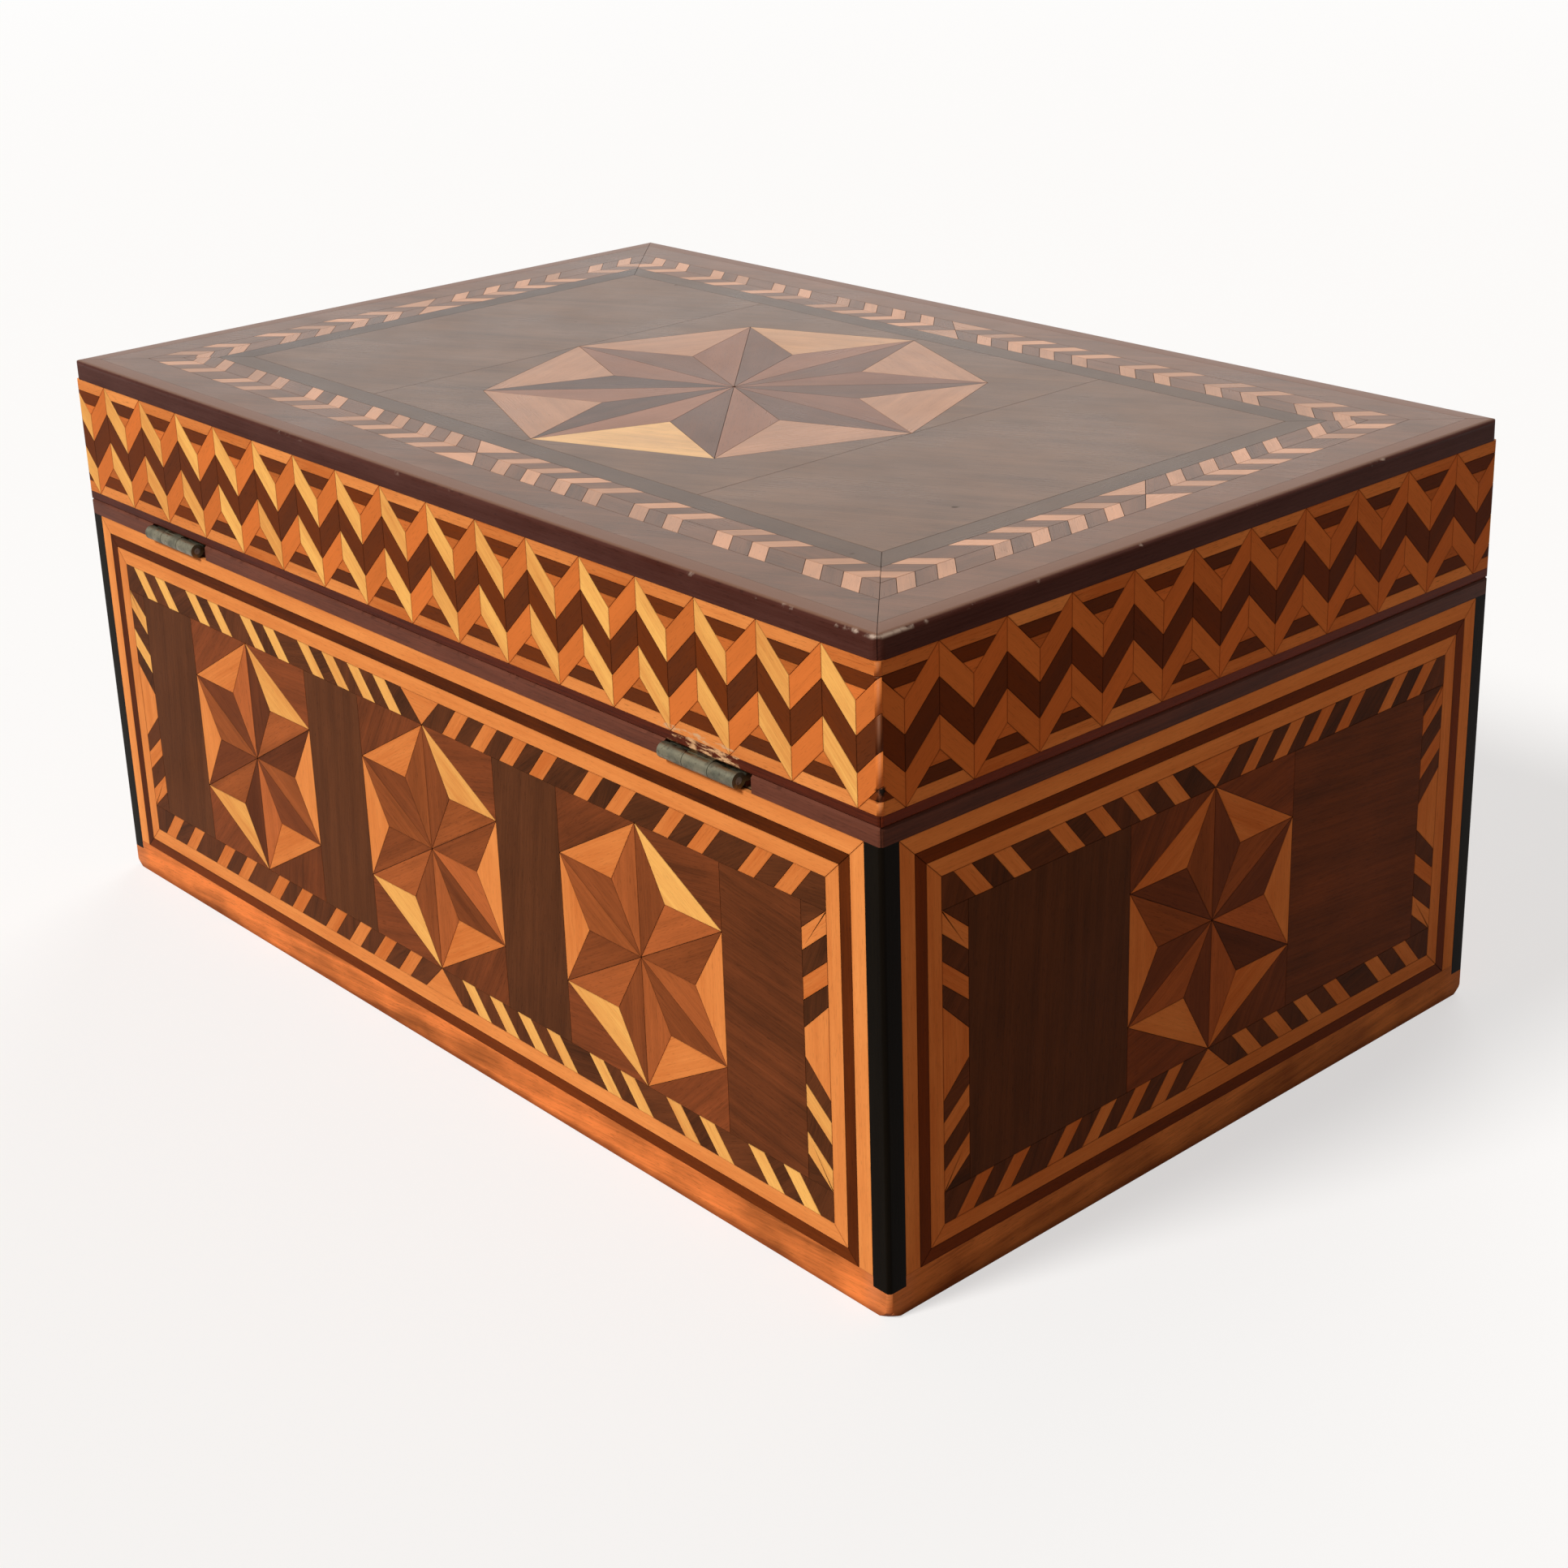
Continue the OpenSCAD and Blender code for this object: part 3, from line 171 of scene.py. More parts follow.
# What the frame says of each node
BODY_OF = {
    node: body
    for body, nodes in frame["record"]["behaviour"]["bodies"].items()
    for node in nodes
}


# Settings
def colour_setting(name, description, value):
    return FloatVectorProperty(
        name=name, description=description, subtype="COLOR", size=3, min=0, max=1, default=value
    )


class WoodColours(bpy.types.PropertyGroup):
    """Colours of the woods"""

    ground: colour_setting("Ground", "Dark brown ground of the sides", (0.108, 0.036, 0.013))
    tile: colour_setting("Tile", "Redder ground round the side stars", (0.2, 0.052, 0.016))
    light: colour_setting("Light wood", "Wood of light lines, teeth and stars", (0.9, 0.345, 0.095))
    bright: colour_setting("Bright wood", "Palest pieces of the yellow wood", (1, 0.56, 0.15))
    brown: colour_setting("Brown wood", "Mid brown half of the star points", (0.4, 0.11, 0.03))
    dark: colour_setting("Dark wood", "Dark half of the star points", (0.15, 0.04, 0.013))
    line: colour_setting("Dark line", "Dark line between the light lines", (0.115, 0.024, 0.004))
    black: colour_setting("Black wood", "Strings in the upright corners", (0.005, 0.0035, 0.002))
    banding: colour_setting("Foot banding", "Banding round the foot", (0.66, 0.19, 0.048))
    lip: colour_setting("Lip", "Red brown lip under the lid", (0.125, 0.022, 0.008))
    rosewood: colour_setting("Rosewood", "Purple brown rim and moulding", (0.105, 0.034, 0.02))
    moulding: colour_setting("Moulding", "Purple wood of the lid's edge", (0.11, 0.043, 0.034))
    orange: colour_setting("Orange wood", "Arms and tips of the lid band", (0.78, 0.215, 0.046))
    top_ground: colour_setting("Top ground", "Ground of the lid's top", (0.158, 0.088, 0.052))
    top_border: colour_setting("Top border", "Redder wood round the lid's top", (0.19, 0.09, 0.052))
    top_light: colour_setting("Top light wood", "Pale wood of the top", (0.46, 0.235, 0.135))
    top_bright: colour_setting("Top bright wood", "Brightest piece on the top", (0.85, 0.5, 0.2))
    pine: colour_setting("Plain wood", "Pine of the boards", (0.46, 0.27, 0.13))


class FinishSettings(bpy.types.PropertyGroup):
    """Polish and joints"""

    side_gloss: FloatProperty(
        name="Side roughness", description="Roughness of the polish on the sides",
        default=0.36, min=0, max=1, subtype="FACTOR",
    )
    top_gloss: FloatProperty(
        name="Top roughness", description="Roughness of the polish on the lid's top",
        default=0.30, min=0, max=1, subtype="FACTOR",
    )
    joint_width: FloatProperty(
        name="Joint width", description="Width of the darker edge of each piece",
        default=0.3 * MM, min=0, max=MM, subtype="DISTANCE", unit="LENGTH",
    )
    joint_shade: FloatProperty(
        name="Joint darkness", description="How much darker a piece is along its joints",
        default=0.14, min=0, max=1, subtype="FACTOR",
    )


class StageSettings(bpy.types.PropertyGroup):
    """Floor, light and camera"""

    floor_colour: colour_setting("Floor", "Colour of the floor", (0.93, 0.93, 0.93))
    sky: FloatProperty(
        name="Sky", description="Strength of the soft light from all round", default=0.20, min=0
    )
    key: FloatProperty(
        name="Key light", description="Strength of the main light", default=3.0, min=0
    )
    fill: FloatProperty(
        name="Fill light", description="Strength of the light on the front", default=1.6, min=0
    )
    lens: FloatProperty(
        name="Lens", description="Focal length of the camera on a 36 mm sensor",
        default=59.51, min=10, subtype="DISTANCE_CAMERA", unit="CAMERA",
    )


# Shader maths
class Flow:
    """A value, colour or vector on its way through a material's nodes."""

    def __init__(self, sheet, socket):
        self.sheet = sheet
        self.socket = socket

    def _math(self, operation, first, second):
        return self.sheet.node("ShaderNodeMath", {"operation": operation}, {0: first, 1: second})

    def __add__(self, other):
        return self._math("ADD", self, other)

    __radd__ = __add__

    def __sub__(self, other):
        return self._math("SUBTRACT", self, other)

    def __rsub__(self, other):
        return self._math("SUBTRACT", other, self)

    def __mul__(self, other):
        return self._math("MULTIPLY", self, other)

    __rmul__ = __mul__

    def __abs__(self):
        return self._math("ABSOLUTE", self, 0.0)

    def limit(self):
        """Keep the value between 0 and 1."""
        return self.sheet.node(
            "ShaderNodeMath", {"operation": "ADD", "use_clamp": True}, {0: self, 1: 0.0}
        )

    def above(self, start, end):
        """Rise from 0 to 1 as the value goes from start to end."""
        return self.sheet.node(
            "ShaderNodeMapRange",
            {"interpolation_type": "SMOOTHSTEP"},
            {"Value": self, "From Min": start, "From Max": end},
        )


class Sheet:
    """The node sheet of a material or a world."""

    def __init__(self, block):
        self.block = block
        block.use_nodes = True
        self.tree = block.node_tree
        self.tree.nodes.clear()

    def node(self, kind, settings=None, inputs=None, output=0):
        """Add a node: its settings first, then the values or links of its sockets."""
        node = self.tree.nodes.new(kind)
        for key, value in (settings or {}).items():
            setattr(node, key, value)
        for key, value in (inputs or {}).items():
            socket = node.inputs[key]
            if isinstance(value, Flow):
                self.tree.links.new(value.socket, socket)
            elif hasattr(socket.default_value, "__len__") and len(socket.default_value) == 4:
                socket.default_value = (*tuple(value)[:3], 1.0)
            else:
                socket.default_value = value
        return Flow(self, node.outputs[output]) if node.outputs else None

    def blend(self, factor, first, second, way="MIX"):
        """Mix two colours."""
        return self.node(
            "ShaderNodeMix",
            {"data_type": "RGBA", "blend_type": way, "clamp_factor": True},
            {0: factor, 6: first, 7: second},
            output=2,
        )

    def vector(self, x, y, z):
        return self.node("ShaderNodeCombineXYZ", {}, {0: x, 1: y, 2: z})

    def noise(self, vector, scale=1.0, detail=2.0, roughness=0.5, distortion=0.0):
        return self.node(
            "ShaderNodeTexNoise",
            {},
            {
                "Vector": vector,
                "Scale": scale,
                "Detail": detail,
                "Roughness": roughness,
                "Distortion": distortion,
            },
        )

    def attribute(self, name):
        return self.node("ShaderNodeAttribute", {"attribute_name": name}, output=2)

    def place(self):
        """Object coordinates, in metres."""
        return self.node("ShaderNodeTexCoord", {}, {}, output="Object")

    def axes(self, flow):
        """The three parts of a vector."""
        first = self.node("ShaderNodeSeparateXYZ", {}, {0: flow})
        return [Flow(self, socket) for socket in first.socket.node.outputs]

    def away(self, place, point):
        """Distance of a place from a point."""
        return self.node(
            "ShaderNodeVectorMath", {"operation": "DISTANCE"}, {0: place, 1: point}, output="Value"
        )

    def seen(self):
        """1 where a camera, glossy or transmission ray looks."""
        camera, glossy, clear = [
            self.node("ShaderNodeLightPath", {}, {}, output=name)
            for name in ("Is Camera Ray", "Is Glossy Ray", "Is Transmission Ray")
        ]
        return (camera + glossy + clear).limit()

    def shader(self, colour, roughness, height=None, bump=0.1, **constants):
        """The polished or dull surface. Constants are set on the shader's own sockets."""
        inputs = {"Base Color": colour, "Roughness": roughness}
        for key, value in constants.items():
            inputs[key.replace("_", " ").title().replace("Ior", "IOR")] = value
        if height is not None:
            inputs["Normal"] = self.node(
                "ShaderNodeBump", {}, {"Strength": bump, "Distance": 0.2 * MM, "Height": height}
            )
        return self.node("ShaderNodeBsdfPrincipled", {}, inputs)

    def mixed(self, factor, first, second):
        """Mix two shaders."""
        return self.node("ShaderNodeMixShader", {}, {0: factor, 1: first, 2: second})

    def close(self, shader, kind="Material"):
        """End the sheet."""
        self.node("ShaderNodeOutput" + kind, {}, {"Surface": shader})
        return self.block


def new_sheet(name):
    return Sheet(bpy.data.materials.new(name))


# Woods
def deeper(colour, share):
    return tuple(part * share for part in colour)


def chance(*values):
    """A number from 0 to 1 that is always the same for the same values, to a tenth."""
    total = sum(round(value + 0.0137, 1) * weight
                for value, weight in zip(values, (12.9898, 78.233, 37.719)))
    part = math.sin(total) * 43758.5453
    return part - math.floor(part)


def veneer_material(name, dark, light, accent, gloss, polish, fibre=0.30, band=0.35, mottle=0.25,
                    spread=0.8, pores=0.25, joint=0.35, marks=None):
    """Polished veneer. Every piece has its own grain in the map Grain, and its own tone."""
    sheet = new_sheet(name)
    along, across, _ = sheet.axes(sheet.node("ShaderNodeUVMap", {"uv_map": "Grain"}))
    tone = sheet.attribute("tone")
    seed = tone * 31.0
    fibres = sheet.noise(sheet.vector(along * 0.07, across * 2.2, seed), detail=3.0, roughness=0.62)
    bands = sheet.noise(sheet.vector(along * 0.016, across * 0.32, seed + 4.0),
                        detail=2.0, distortion=0.35)
    clouds = sheet.noise(sheet.vector(along * 0.06, across * 0.10, seed + 9.0), detail=2.0)
    dashes = sheet.noise(sheet.vector(along * 0.45, across * 5.0, seed + 2.0), detail=1.0)
    pore = dashes.above(0.60, 0.70)
    level = (0.5 + (tone - 0.5) * spread + (fibres - 0.5) * (2.0 * fibre)
             + (bands - 0.5) * (2.0 * band) + (clouds - 0.5) * (2.0 * mottle)).limit()
    colour = sheet.blend(sheet.attribute("accent"), sheet.blend(level, dark, light),
                         sheet.blend(level, dark, accent))
    shade = (1.0 - pore * pores) * (1.0 - sheet.attribute("rim").above(0.0, 1.0) * joint)
    colour = sheet.blend(1.0, colour, sheet.vector(shade, shade, shade), "MULTIPLY")
    place = sheet.place()
    smears = sheet.noise(place, scale=38.0, detail=3.0)
    roughness = gloss + (smears - 0.5) * 0.22 + (fibres - 0.5) * 0.08
    height = fibres * 0.5 - pore * 0.35 + smears * 1.5
    coat = 0.0
    if marks:
        colour, roughness, coat = marks(sheet, place, colour, roughness)
    return sheet.close(sheet.shader(colour, roughness, height, bump=0.12, specular_ior_level=polish,
                                    coat_weight=coat, coat_roughness=0.3))


def along_corners(sheet, place, reach):
    """1 near the upright corners of the box."""
    x, y, _ = sheet.axes(place)
    return (abs(x).above(HALF_L - reach, HALF_L - 0.3 * reach)
            * abs(y).above(HALF_D - reach, HALF_D - 0.3 * reach))


def moulding_marks(sheet, place, colour, roughness):
    """Rubbed edges of the moulding with a painted highlight, most near one corner, and its paler,
    hazed top.
    """
    x, y, z = sheet.axes(place)
    ends = abs(x).above(HALF_L - 1.0 * MM, HALF_L - 0.2 * MM)
    sides = abs(y).above(HALF_D - 1.0 * MM, HALF_D - 0.2 * MM)
    top = z.above(LID_TOP - 1.1 * MM, LID_TOP - 0.2 * MM)
    edge = (ends + sides + top - 1.0).limit()
    near = 1.0 - sheet.away(place, NEAR_CORNER).above(2 * MM, 34 * MM)
    rubbed = sheet.noise(place, scale=150.0, detail=4.0, roughness=0.65)
    # Pale worn chips and a painted highlight along the edges, strongest near one corner
    wear_and_highlight = (edge * (rubbed + near * 0.11).above(0.60, 0.72)).limit()
    flat = z.above(LID_TOP - 0.4 * MM, LID_TOP - 0.05 * MM)
    colour = sheet.blend(flat, colour, WORN_TOP)
    colour = sheet.blend(wear_and_highlight, colour, WORN_EDGE_AND_HIGHLIGHT)
    return colour, roughness + wear_and_highlight * 0.25, flat * (0.35 - wear_and_highlight * 0.35)


def corner_marks(sheet, place, colour, roughness):
    """Rubbed upright corners with a painted pale highlight, and the hole of a nail near one of
    them.
    """
    wear_and_highlight = along_corners(sheet, place, 0.8 * MM)
    # Pale rubbed colour along the upright corners, partly a painted highlight
    colour = sheet.blend(wear_and_highlight * 0.25, colour, RUBBED_CORNER_HIGHLIGHT)
    ragged = sheet.noise(place, scale=700.0, detail=2.0)
    nail = sheet.away(place, NEAR_CORNER - Vector((0, 0, NAIL_DROP)))
    hole = 1.0 - (nail + (ragged - 0.5) * (4.0 * MM)).above(0.7 * MM, 1.7 * MM)
    return sheet.blend(hole, colour, NAIL_HOLE), roughness + hole * 0.3, 0.0


def hinge_marks(sheet, place, colour, roughness):
    """Bare wood where the lid's lower edge has chipped above the near hinge."""
    x, y, z = sheet.axes(place)
    low = 1.0 - z.above(LIP_TOP + 1.4 * MM, LIP_TOP + 2.4 * MM)
    low = low * y.above(HALF_D - 5 * MM, HALF_D - MM)
    near = 1.0 - abs(x - NEAR_HINGE).above(5 * MM, 24 * MM)
    chips = sheet.noise(sheet.vector(x * 230.0, 0.0, z * 800.0), detail=3.0, roughness=0.7)
    bare = (low * near * 0.36 + chips).above(0.82, 0.96)
    return sheet.blend(bare, colour, BARE_WOOD), roughness + bare * 0.3, 0.0


def top_marks(sheet, place, colour, roughness):
    """Dark specks in the polish of the lid's top."""
    spots = sheet.noise(place, scale=170.0, detail=1.0)
    speck = spots.above(0.80, 0.84)
    return sheet.blend(speck * 0.75, colour, SPECK), roughness + speck * 0.2, 0.0


def foot_marks(sheet, place, colour, roughness):
    """Darker towards the bottom edge, and paler rubbed corners."""
    _, _, z = sheet.axes(place)
    foot_noise = sheet.noise(place, scale=60.0, detail=3.0)
    # Darker towards the bottom edge, over its lowest two millimetres
    darker_low = (1.0 - (z + (foot_noise - 0.5) * (3.0 * MM)).above(0.2 * MM, 2.2 * MM)) * 0.6
    rubbed = along_corners(sheet, place, 9 * MM) * foot_noise.above(0.35, 0.65)
    colour = sheet.blend(rubbed * 0.35, colour, RUBBED_FOOT)
    return sheet.blend(darker_low, colour, FOOT_BOTTOM_DARK), roughness + darker_low * 0.2, 0.0


def band_marks(sheet, place, colour, roughness):
    """Rubbed corners with their painted highlight, the nail hole and the chips above the hinge, on
    the lid's band.
    """
    colour, roughness, _ = corner_marks(sheet, place, colour, roughness)
    return hinge_marks(sheet, place, colour, roughness)


def board_material(name, colour, turned=False):
    """Plain wood of the boards on Object coordinates, darker on faces that were glued, which also
    paints shade into the saw lines between the veneers.
    """
    sheet = new_sheet(name)
    x, y, z = sheet.axes(sheet.place())
    along, across = (y, x) if turned else (x, y)
    fibres = sheet.noise(sheet.vector(along * 30.0, across * 1500.0, z * 1500.0),
                         detail=4.0, roughness=0.65)
    bend = sheet.noise(sheet.vector(along * 5.0, across * 12.0, z * 12.0), detail=1.0)
    rings = sheet.noise(
        sheet.vector(along * 2.0, across * 160.0 + bend * 6.0, z * 160.0 + bend * 9.0), detail=2.0
    )
    level = (0.55 + (fibres - 0.5) * 1.1 + (rings - 0.5) * 1.4).limit()
    wood = sheet.blend(level, deeper(colour, 0.5), colour)
    # Dark glue on the outer faces, which also paints the shade at the bottom of the saw lines
    glued_and_shaded = (abs(x).above(HALF_L - 1.6 * MM, HALF_L - 1.2 * MM)
             + abs(y).above(HALF_D - 1.6 * MM, HALF_D - 1.2 * MM)
             + z.above(LID_TOP - 1.6 * MM, LID_TOP - 1.2 * MM)).limit()
    wood = sheet.blend(glued_and_shaded, wood, GLUE_AND_GAP_SHADE)
    return sheet.close(sheet.shader(wood, 0.62 + (fibres - 0.5) * 0.2, fibres, bump=0.15,
                                    specular_ior_level=0.3))


def metal_material(name, bright, dull, patina, roughness):
    """Old metal, with a dull skin in patches and dark specks of grime."""
    sheet = new_sheet(name)
    place = sheet.place()
    patches = sheet.noise(place, scale=260.0, detail=4.0, roughness=0.6)
    grime = sheet.noise(place, scale=1300.0, detail=3.0)
    skin = (patches.above(0.36, 0.68) * patina).limit()
    colour = sheet.blend(skin, bright, dull)
    colour = sheet.blend(grime.above(0.55, 0.75) * 0.6, colour, METAL_GRIME)
    rough = roughness + skin * 0.28 + (grime - 0.5) * 0.2
    return sheet.close(sheet.shader(colour, rough, patches + grime * 0.5, bump=0.25,
                                    metallic=1.0 - skin * 0.55, specular_ior_level=0.4))


# Laying a wood
LONG_SIDES = ("back", "front")
ENDS = ("left", "right")
SIDE_RIGHT = {"front": Vector((1, 0, 0)), "back": Vector((-1, 0, 0)),
              "right": Vector((0, 1, 0)), "left": Vector((0, -1, 0)), "top": Vector((1, 0, 0))}
SIDE_OUT = {"front": Vector((0, -1, 0)), "back": Vector((0, 1, 0)),
            "right": Vector((1, 0, 0)), "left": Vector((-1, 0, 0)), "top": Vector((0, 0, 1))}
SIDE_UP = {name: Vector((0, 1, 0)) if name == "top" else Vector((0, 0, 1)) for name in SIDE_OUT}
SIDE_REACH = {"front": HALF_D, "back": HALF_D, "right": HALF_L, "left": HALF_L, "top": LID_TOP}

# Where a piece lies: side, place and largest face there in millimetres, grain in degrees
Spot = namedtuple("Spot", "side x y area turn")


def side_of(point):
    """The side of the box that a point is nearest to."""
    return min(SIDE_OUT, key=lambda side: SIDE_REACH[side] - point.dot(SIDE_OUT[side]))


def shows(face, inside=0.05 * MM):
    """Whether a face lies in the outer surface of the box."""
    middle = face.calc_center_median()
    return any(
        face.normal.dot(out) > 0.999 and middle.dot(out) > SIDE_REACH[side] - inside
        for side, out in SIDE_OUT.items()
    )


def islands(mesh):
    """Separate pieces of a mesh, as lists of faces."""
    found, seen = [], set()
    for start in mesh.faces:
        if start in seen:
            continue
        seen.add(start)
        group = [start]
        for face in group:
            for edge in face.edges:
                for other in edge.link_faces:
                    if other not in seen:
                        seen.add(other)
                        group.append(other)
        found.append(group)
    return found


def longest_edge(faces, right, up):
    """Direction of the longest edge of some faces, in the plane of a side."""
    best = max((edge for face in faces for edge in face.edges), key=lambda e: e.calc_length())
    way = best.verts[1].co - best.verts[0].co
    return math.atan2(way.dot(up), way.dot(right))


def copy_node(node):
    """A merged copy of a node, in edit mode, with flat faces in one piece each."""
    source = frame["nodes"][node]
    bpy.ops.object.select_all(action="DESELECT")
    source.select_set(True)
    bpy.context.view_layer.objects.active = source
    bpy.ops.object.duplicate()
    piece = bpy.context.view_layer.objects.active
    piece.name = node + "_laid"
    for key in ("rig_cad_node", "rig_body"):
        del piece[key]
    piece.data.materials.clear()
    bpy.ops.mesh.customdata_custom_splitnormals_clear()
    bpy.ops.object.mode_set(mode="EDIT")
    bpy.ops.mesh.select_mode(type="FACE")
    bpy.ops.mesh.select_all(action="SELECT")
    bpy.ops.mesh.remove_doubles(threshold=MERGE_REACH)
    bpy.ops.mesh.dissolve_limited(angle_limit=math.radians(FLAT_ANGLE))
    return piece


def inset_shown_faces(piece, width):
    """Give every face that shows an inner face of its own; the strip round it takes the shade."""
    mesh = bmesh.from_edit_mesh(piece.data)
    for face in mesh.faces:
        roomy = face.calc_area() > 1.3 * width * face.calc_perimeter()
        face.select_set(roomy and shows(face))
    mesh.select_flush_mode()
    bmesh.update_edit_mesh(piece.data)
    if width and any(face.select for face in mesh.faces):
        bpy.ops.mesh.inset(thickness=width, depth=0, use_individual=True, use_even_offset=True)


def close_corner(co):
    """Close the saw lines at the upright corners, where two sides meet."""
    in_x, in_y = HALF_L - abs(co.x), HALF_D - abs(co.y)
    if max(in_x, in_y) > CORNER_REACH:
        return
    off = in_y - in_x
    if 0.04 * MM < abs(off) < 0.1 * MM:
        co.x -= math.copysign(off / 2, co.x)
        co.y += math.copysign(off / 2, co.y)
    elif in_x < 1.1 * MM and abs(in_y - SKIN - SAW_LINE) < 0.02 * MM:
        co.y = math.copysign(HALF_D - SKIN, co.y)


def mark_rims(mesh, layer, width):
    """1 on the vertices along a piece's joints, 0 on its middle and on its rounded corners."""
    for vert in mesh.verts:
        vert[layer] = 1.0 if width else 0.0
    for face in mesh.faces:
        if face.select or min(abs(face.normal.x), abs(face.normal.y)) > 0.05:
            for vert in face.verts:
                vert[layer] = 0.0


def spot_of(faces, middle, grain):
    """The spot of a piece. Its grain follows its longest edge, a rule or a number of degrees."""
    side = side_of(middle)
    right, up = SIDE_RIGHT[side], SIDE_UP[side]
    area = max(face.calc_area() for face in faces) / MM ** 2
    spot = Spot(side, middle.dot(right) / MM, middle.dot(up) / MM, area, 0.0)
    if grain == "long":
        turn = math.degrees(longest_edge(faces, right, up))
    else:
        turn = grain(spot) if callable(grain) else grain
    return spot._replace(turn=turn)


def on_grain(co, spot, run):
    """A point along and across the grain. Run is the axis of a solid strip, or None."""
    if run is not None:
        return co[run], sum(co) - co[run]
    s, t = co.dot(SIDE_RIGHT[spot.side]), co.dot(SIDE_UP[spot.side])
    cos, sin = math.cos(math.radians(spot.turn)), math.sin(math.radians(spot.turn))
    return s * cos + t * sin, t * cos - s * sin


def longest_axis(verts):
    """The axis, 0 to 2, along which some vertices reach furthest."""
    spans = [max(vert.co[k] for vert in verts) - min(vert.co[k] for vert in verts)
             for k in range(3)]
    return spans.index(max(spans))


def lay(node, material, grain, tone, solid=False, width=0.0):
    """Lay a node's pieces: each gets its grain, its tone and its darker joint."""
    piece = copy_node(node)
    inset_shown_faces(piece, width)
    bpy.ops.object.mode_set(mode="OBJECT")
    mesh = bmesh.new()
    mesh.from_mesh(piece.data)
    grain_map = mesh.loops.layers.uv.get("Grain") or mesh.loops.layers.uv.new("Grain")
    tones = mesh.faces.layers.float.new("tone")
    accents = mesh.faces.layers.float.new("accent")
    rims = mesh.verts.layers.float.new("rim")
    for vert in mesh.verts:
        close_corner(vert.co)
    mark_rims(mesh, rims, width)
    for faces in islands(mesh):
        verts = list(dict.fromkeys(vert for face in faces for vert in face.verts))
        middle = sum((vert.co for vert in verts), Vector()) / len(verts)
        spot = spot_of(faces, middle, grain)
        value, accent = tone(spot)
        shift = [chance(spot.x, spot.y, k) * GRAIN_SHIFT for k in (1, 2)]
        run = longest_axis(verts) if solid else None
        for face in faces:
            face[tones] = value
            face[accents] = accent
            for loop in face.loops:
                along, across = on_grain((loop.vert.co - middle) / MM, spot, run)
                loop[grain_map].uv = (along + shift[0], across + shift[1])
    mesh.to_mesh(piece.data)
    mesh.free()
    for layer in [uv for uv in piece.data.uv_layers if uv.name != "Grain"]:
        piece.data.uv_layers.remove(layer)
    piece.data.materials.append(material)
    if solid:
        bpy.ops.object.shade_smooth_by_angle(angle=math.radians(SMOOTH_ANGLE))
    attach(piece, BODY_OF[node])
    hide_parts(node)


def paint(node, material):
    """Give a node that keeps its own mesh a material."""
    for slot in frame["nodes"][node].material_slots:
        slot.material = material


# Rules: a tone rule gives a spot's tone and share of the accent, a grain rule its turn
def even(spot):
    """Any tone, as chance has it."""
    return chance(spot.x, spot.y), 0.0


def ground_tone(spot):
    """Panels, tiles behind the stars and small pieces. On the top the outer ones are redder."""
    roll = chance(spot.x, spot.y)
    if spot.side == "top":
        outside = abs(spot.x) > TOP_FIELD[0] or abs(spot.y) > TOP_FIELD[1]
        return 0.42 + 0.2 * roll, 0.8 if outside else 0.0
    if spot.area > PANEL_AREA:
        return 0.4 + 0.2 * roll, 0.7 if spot.x > LAST_PANEL else 0.0
    if spot.area > TILE_AREA:
        return 0.35 + 0.5 * roll, 1.0
    return 0.05 + 0.4 * roll, 0.4


def ground_grain(spot):
    """Degrees: upright on most panels, level on the last one, any way on small pieces."""
    roll = chance(spot.y, spot.x)
    if spot.side == "top":
        return TOP_GRAIN if spot.area > PANEL_AREA else 60 * roll
    if spot.area > PANEL_AREA:
        return 170 + 8 * roll if spot.x > LAST_PANEL else 80 + 14 * roll
    return 90 * roll


def star_light_tone(spot):
    """On the top, one point of the star is much the brightest, and the one facing it a little."""
    roll = chance(spot.x, spot.y)
    if spot.side == "top":
        around = math.degrees(math.atan2(spot.y, spot.x)) % 360
        if 90 < around < 135:
            return 0.95, 0.9
        if 270 < around < 315:
            return 0.6, 0.32
        return 0.15 + 0.4 * roll, 0.0
    return sheen_tone(spot)


def falling(spot):
    """1 where the grain goes down to the right at 45 degrees, seen from outside, -1 where up."""
    return -math.sin(2 * math.radians(spot.turn))


def sheen_tone(spot):
    """Light wood that shines where its grain goes down to the right, most on the long sides."""
    roll = chance(spot.x, spot.y)
    shine = falling(spot)
    if spot.side in ENDS:
        return 0.22 + 0.5 * (roll - 0.5) + 0.12 * shine, 0.0
    return 0.48 + 0.4 * (roll - 0.5) + 0.32 * shine, max(0.0, min(1.0, 1.1 * shine))


def arm_tone(spot):
    """Every second light arm of the band shines, most on the long sides."""
    roll = chance(spot.x, spot.y)
    if spot.side in ENDS:
        return 0.15 + 0.5 * roll, 0.1 if falling(spot) > 0 else 0.0
    if falling(spot) > 0:
        return 0.6 + 0.4 * roll, 1.0
    return 0.2 + 0.7 * roll, 0.0


def dark_arm_tone(spot):
    """Every second dark arm of the band is the paler."""
    roll = chance(spot.x, spot.y)
    return (0.5 + 0.4 * roll if falling(spot) > 0 else 0.1 + 0.3 * roll), 0.0


def light_line_tone(spot):
    """On the ends, only the uppermost strips are as pale as on the long sides."""
    level = 0.5 if spot.side in LONG_SIDES or spot.y > HIGH_LINE else 0.1
    return level + 0.4 * chance(spot.x, spot.y), 0.0


def foot_tone(spot):
    """The banding on the ends is the more golden."""
    return chance(spot.x, spot.y), 0.6 if spot.side in ENDS else 0.0


def rim_tone(spot):
    """The rim is paler and redder on the long sides."""
    return (0.75 if spot.side in LONG_SIDES else 0.3) + 0.15 * chance(spot.x, spot.y), 0.0


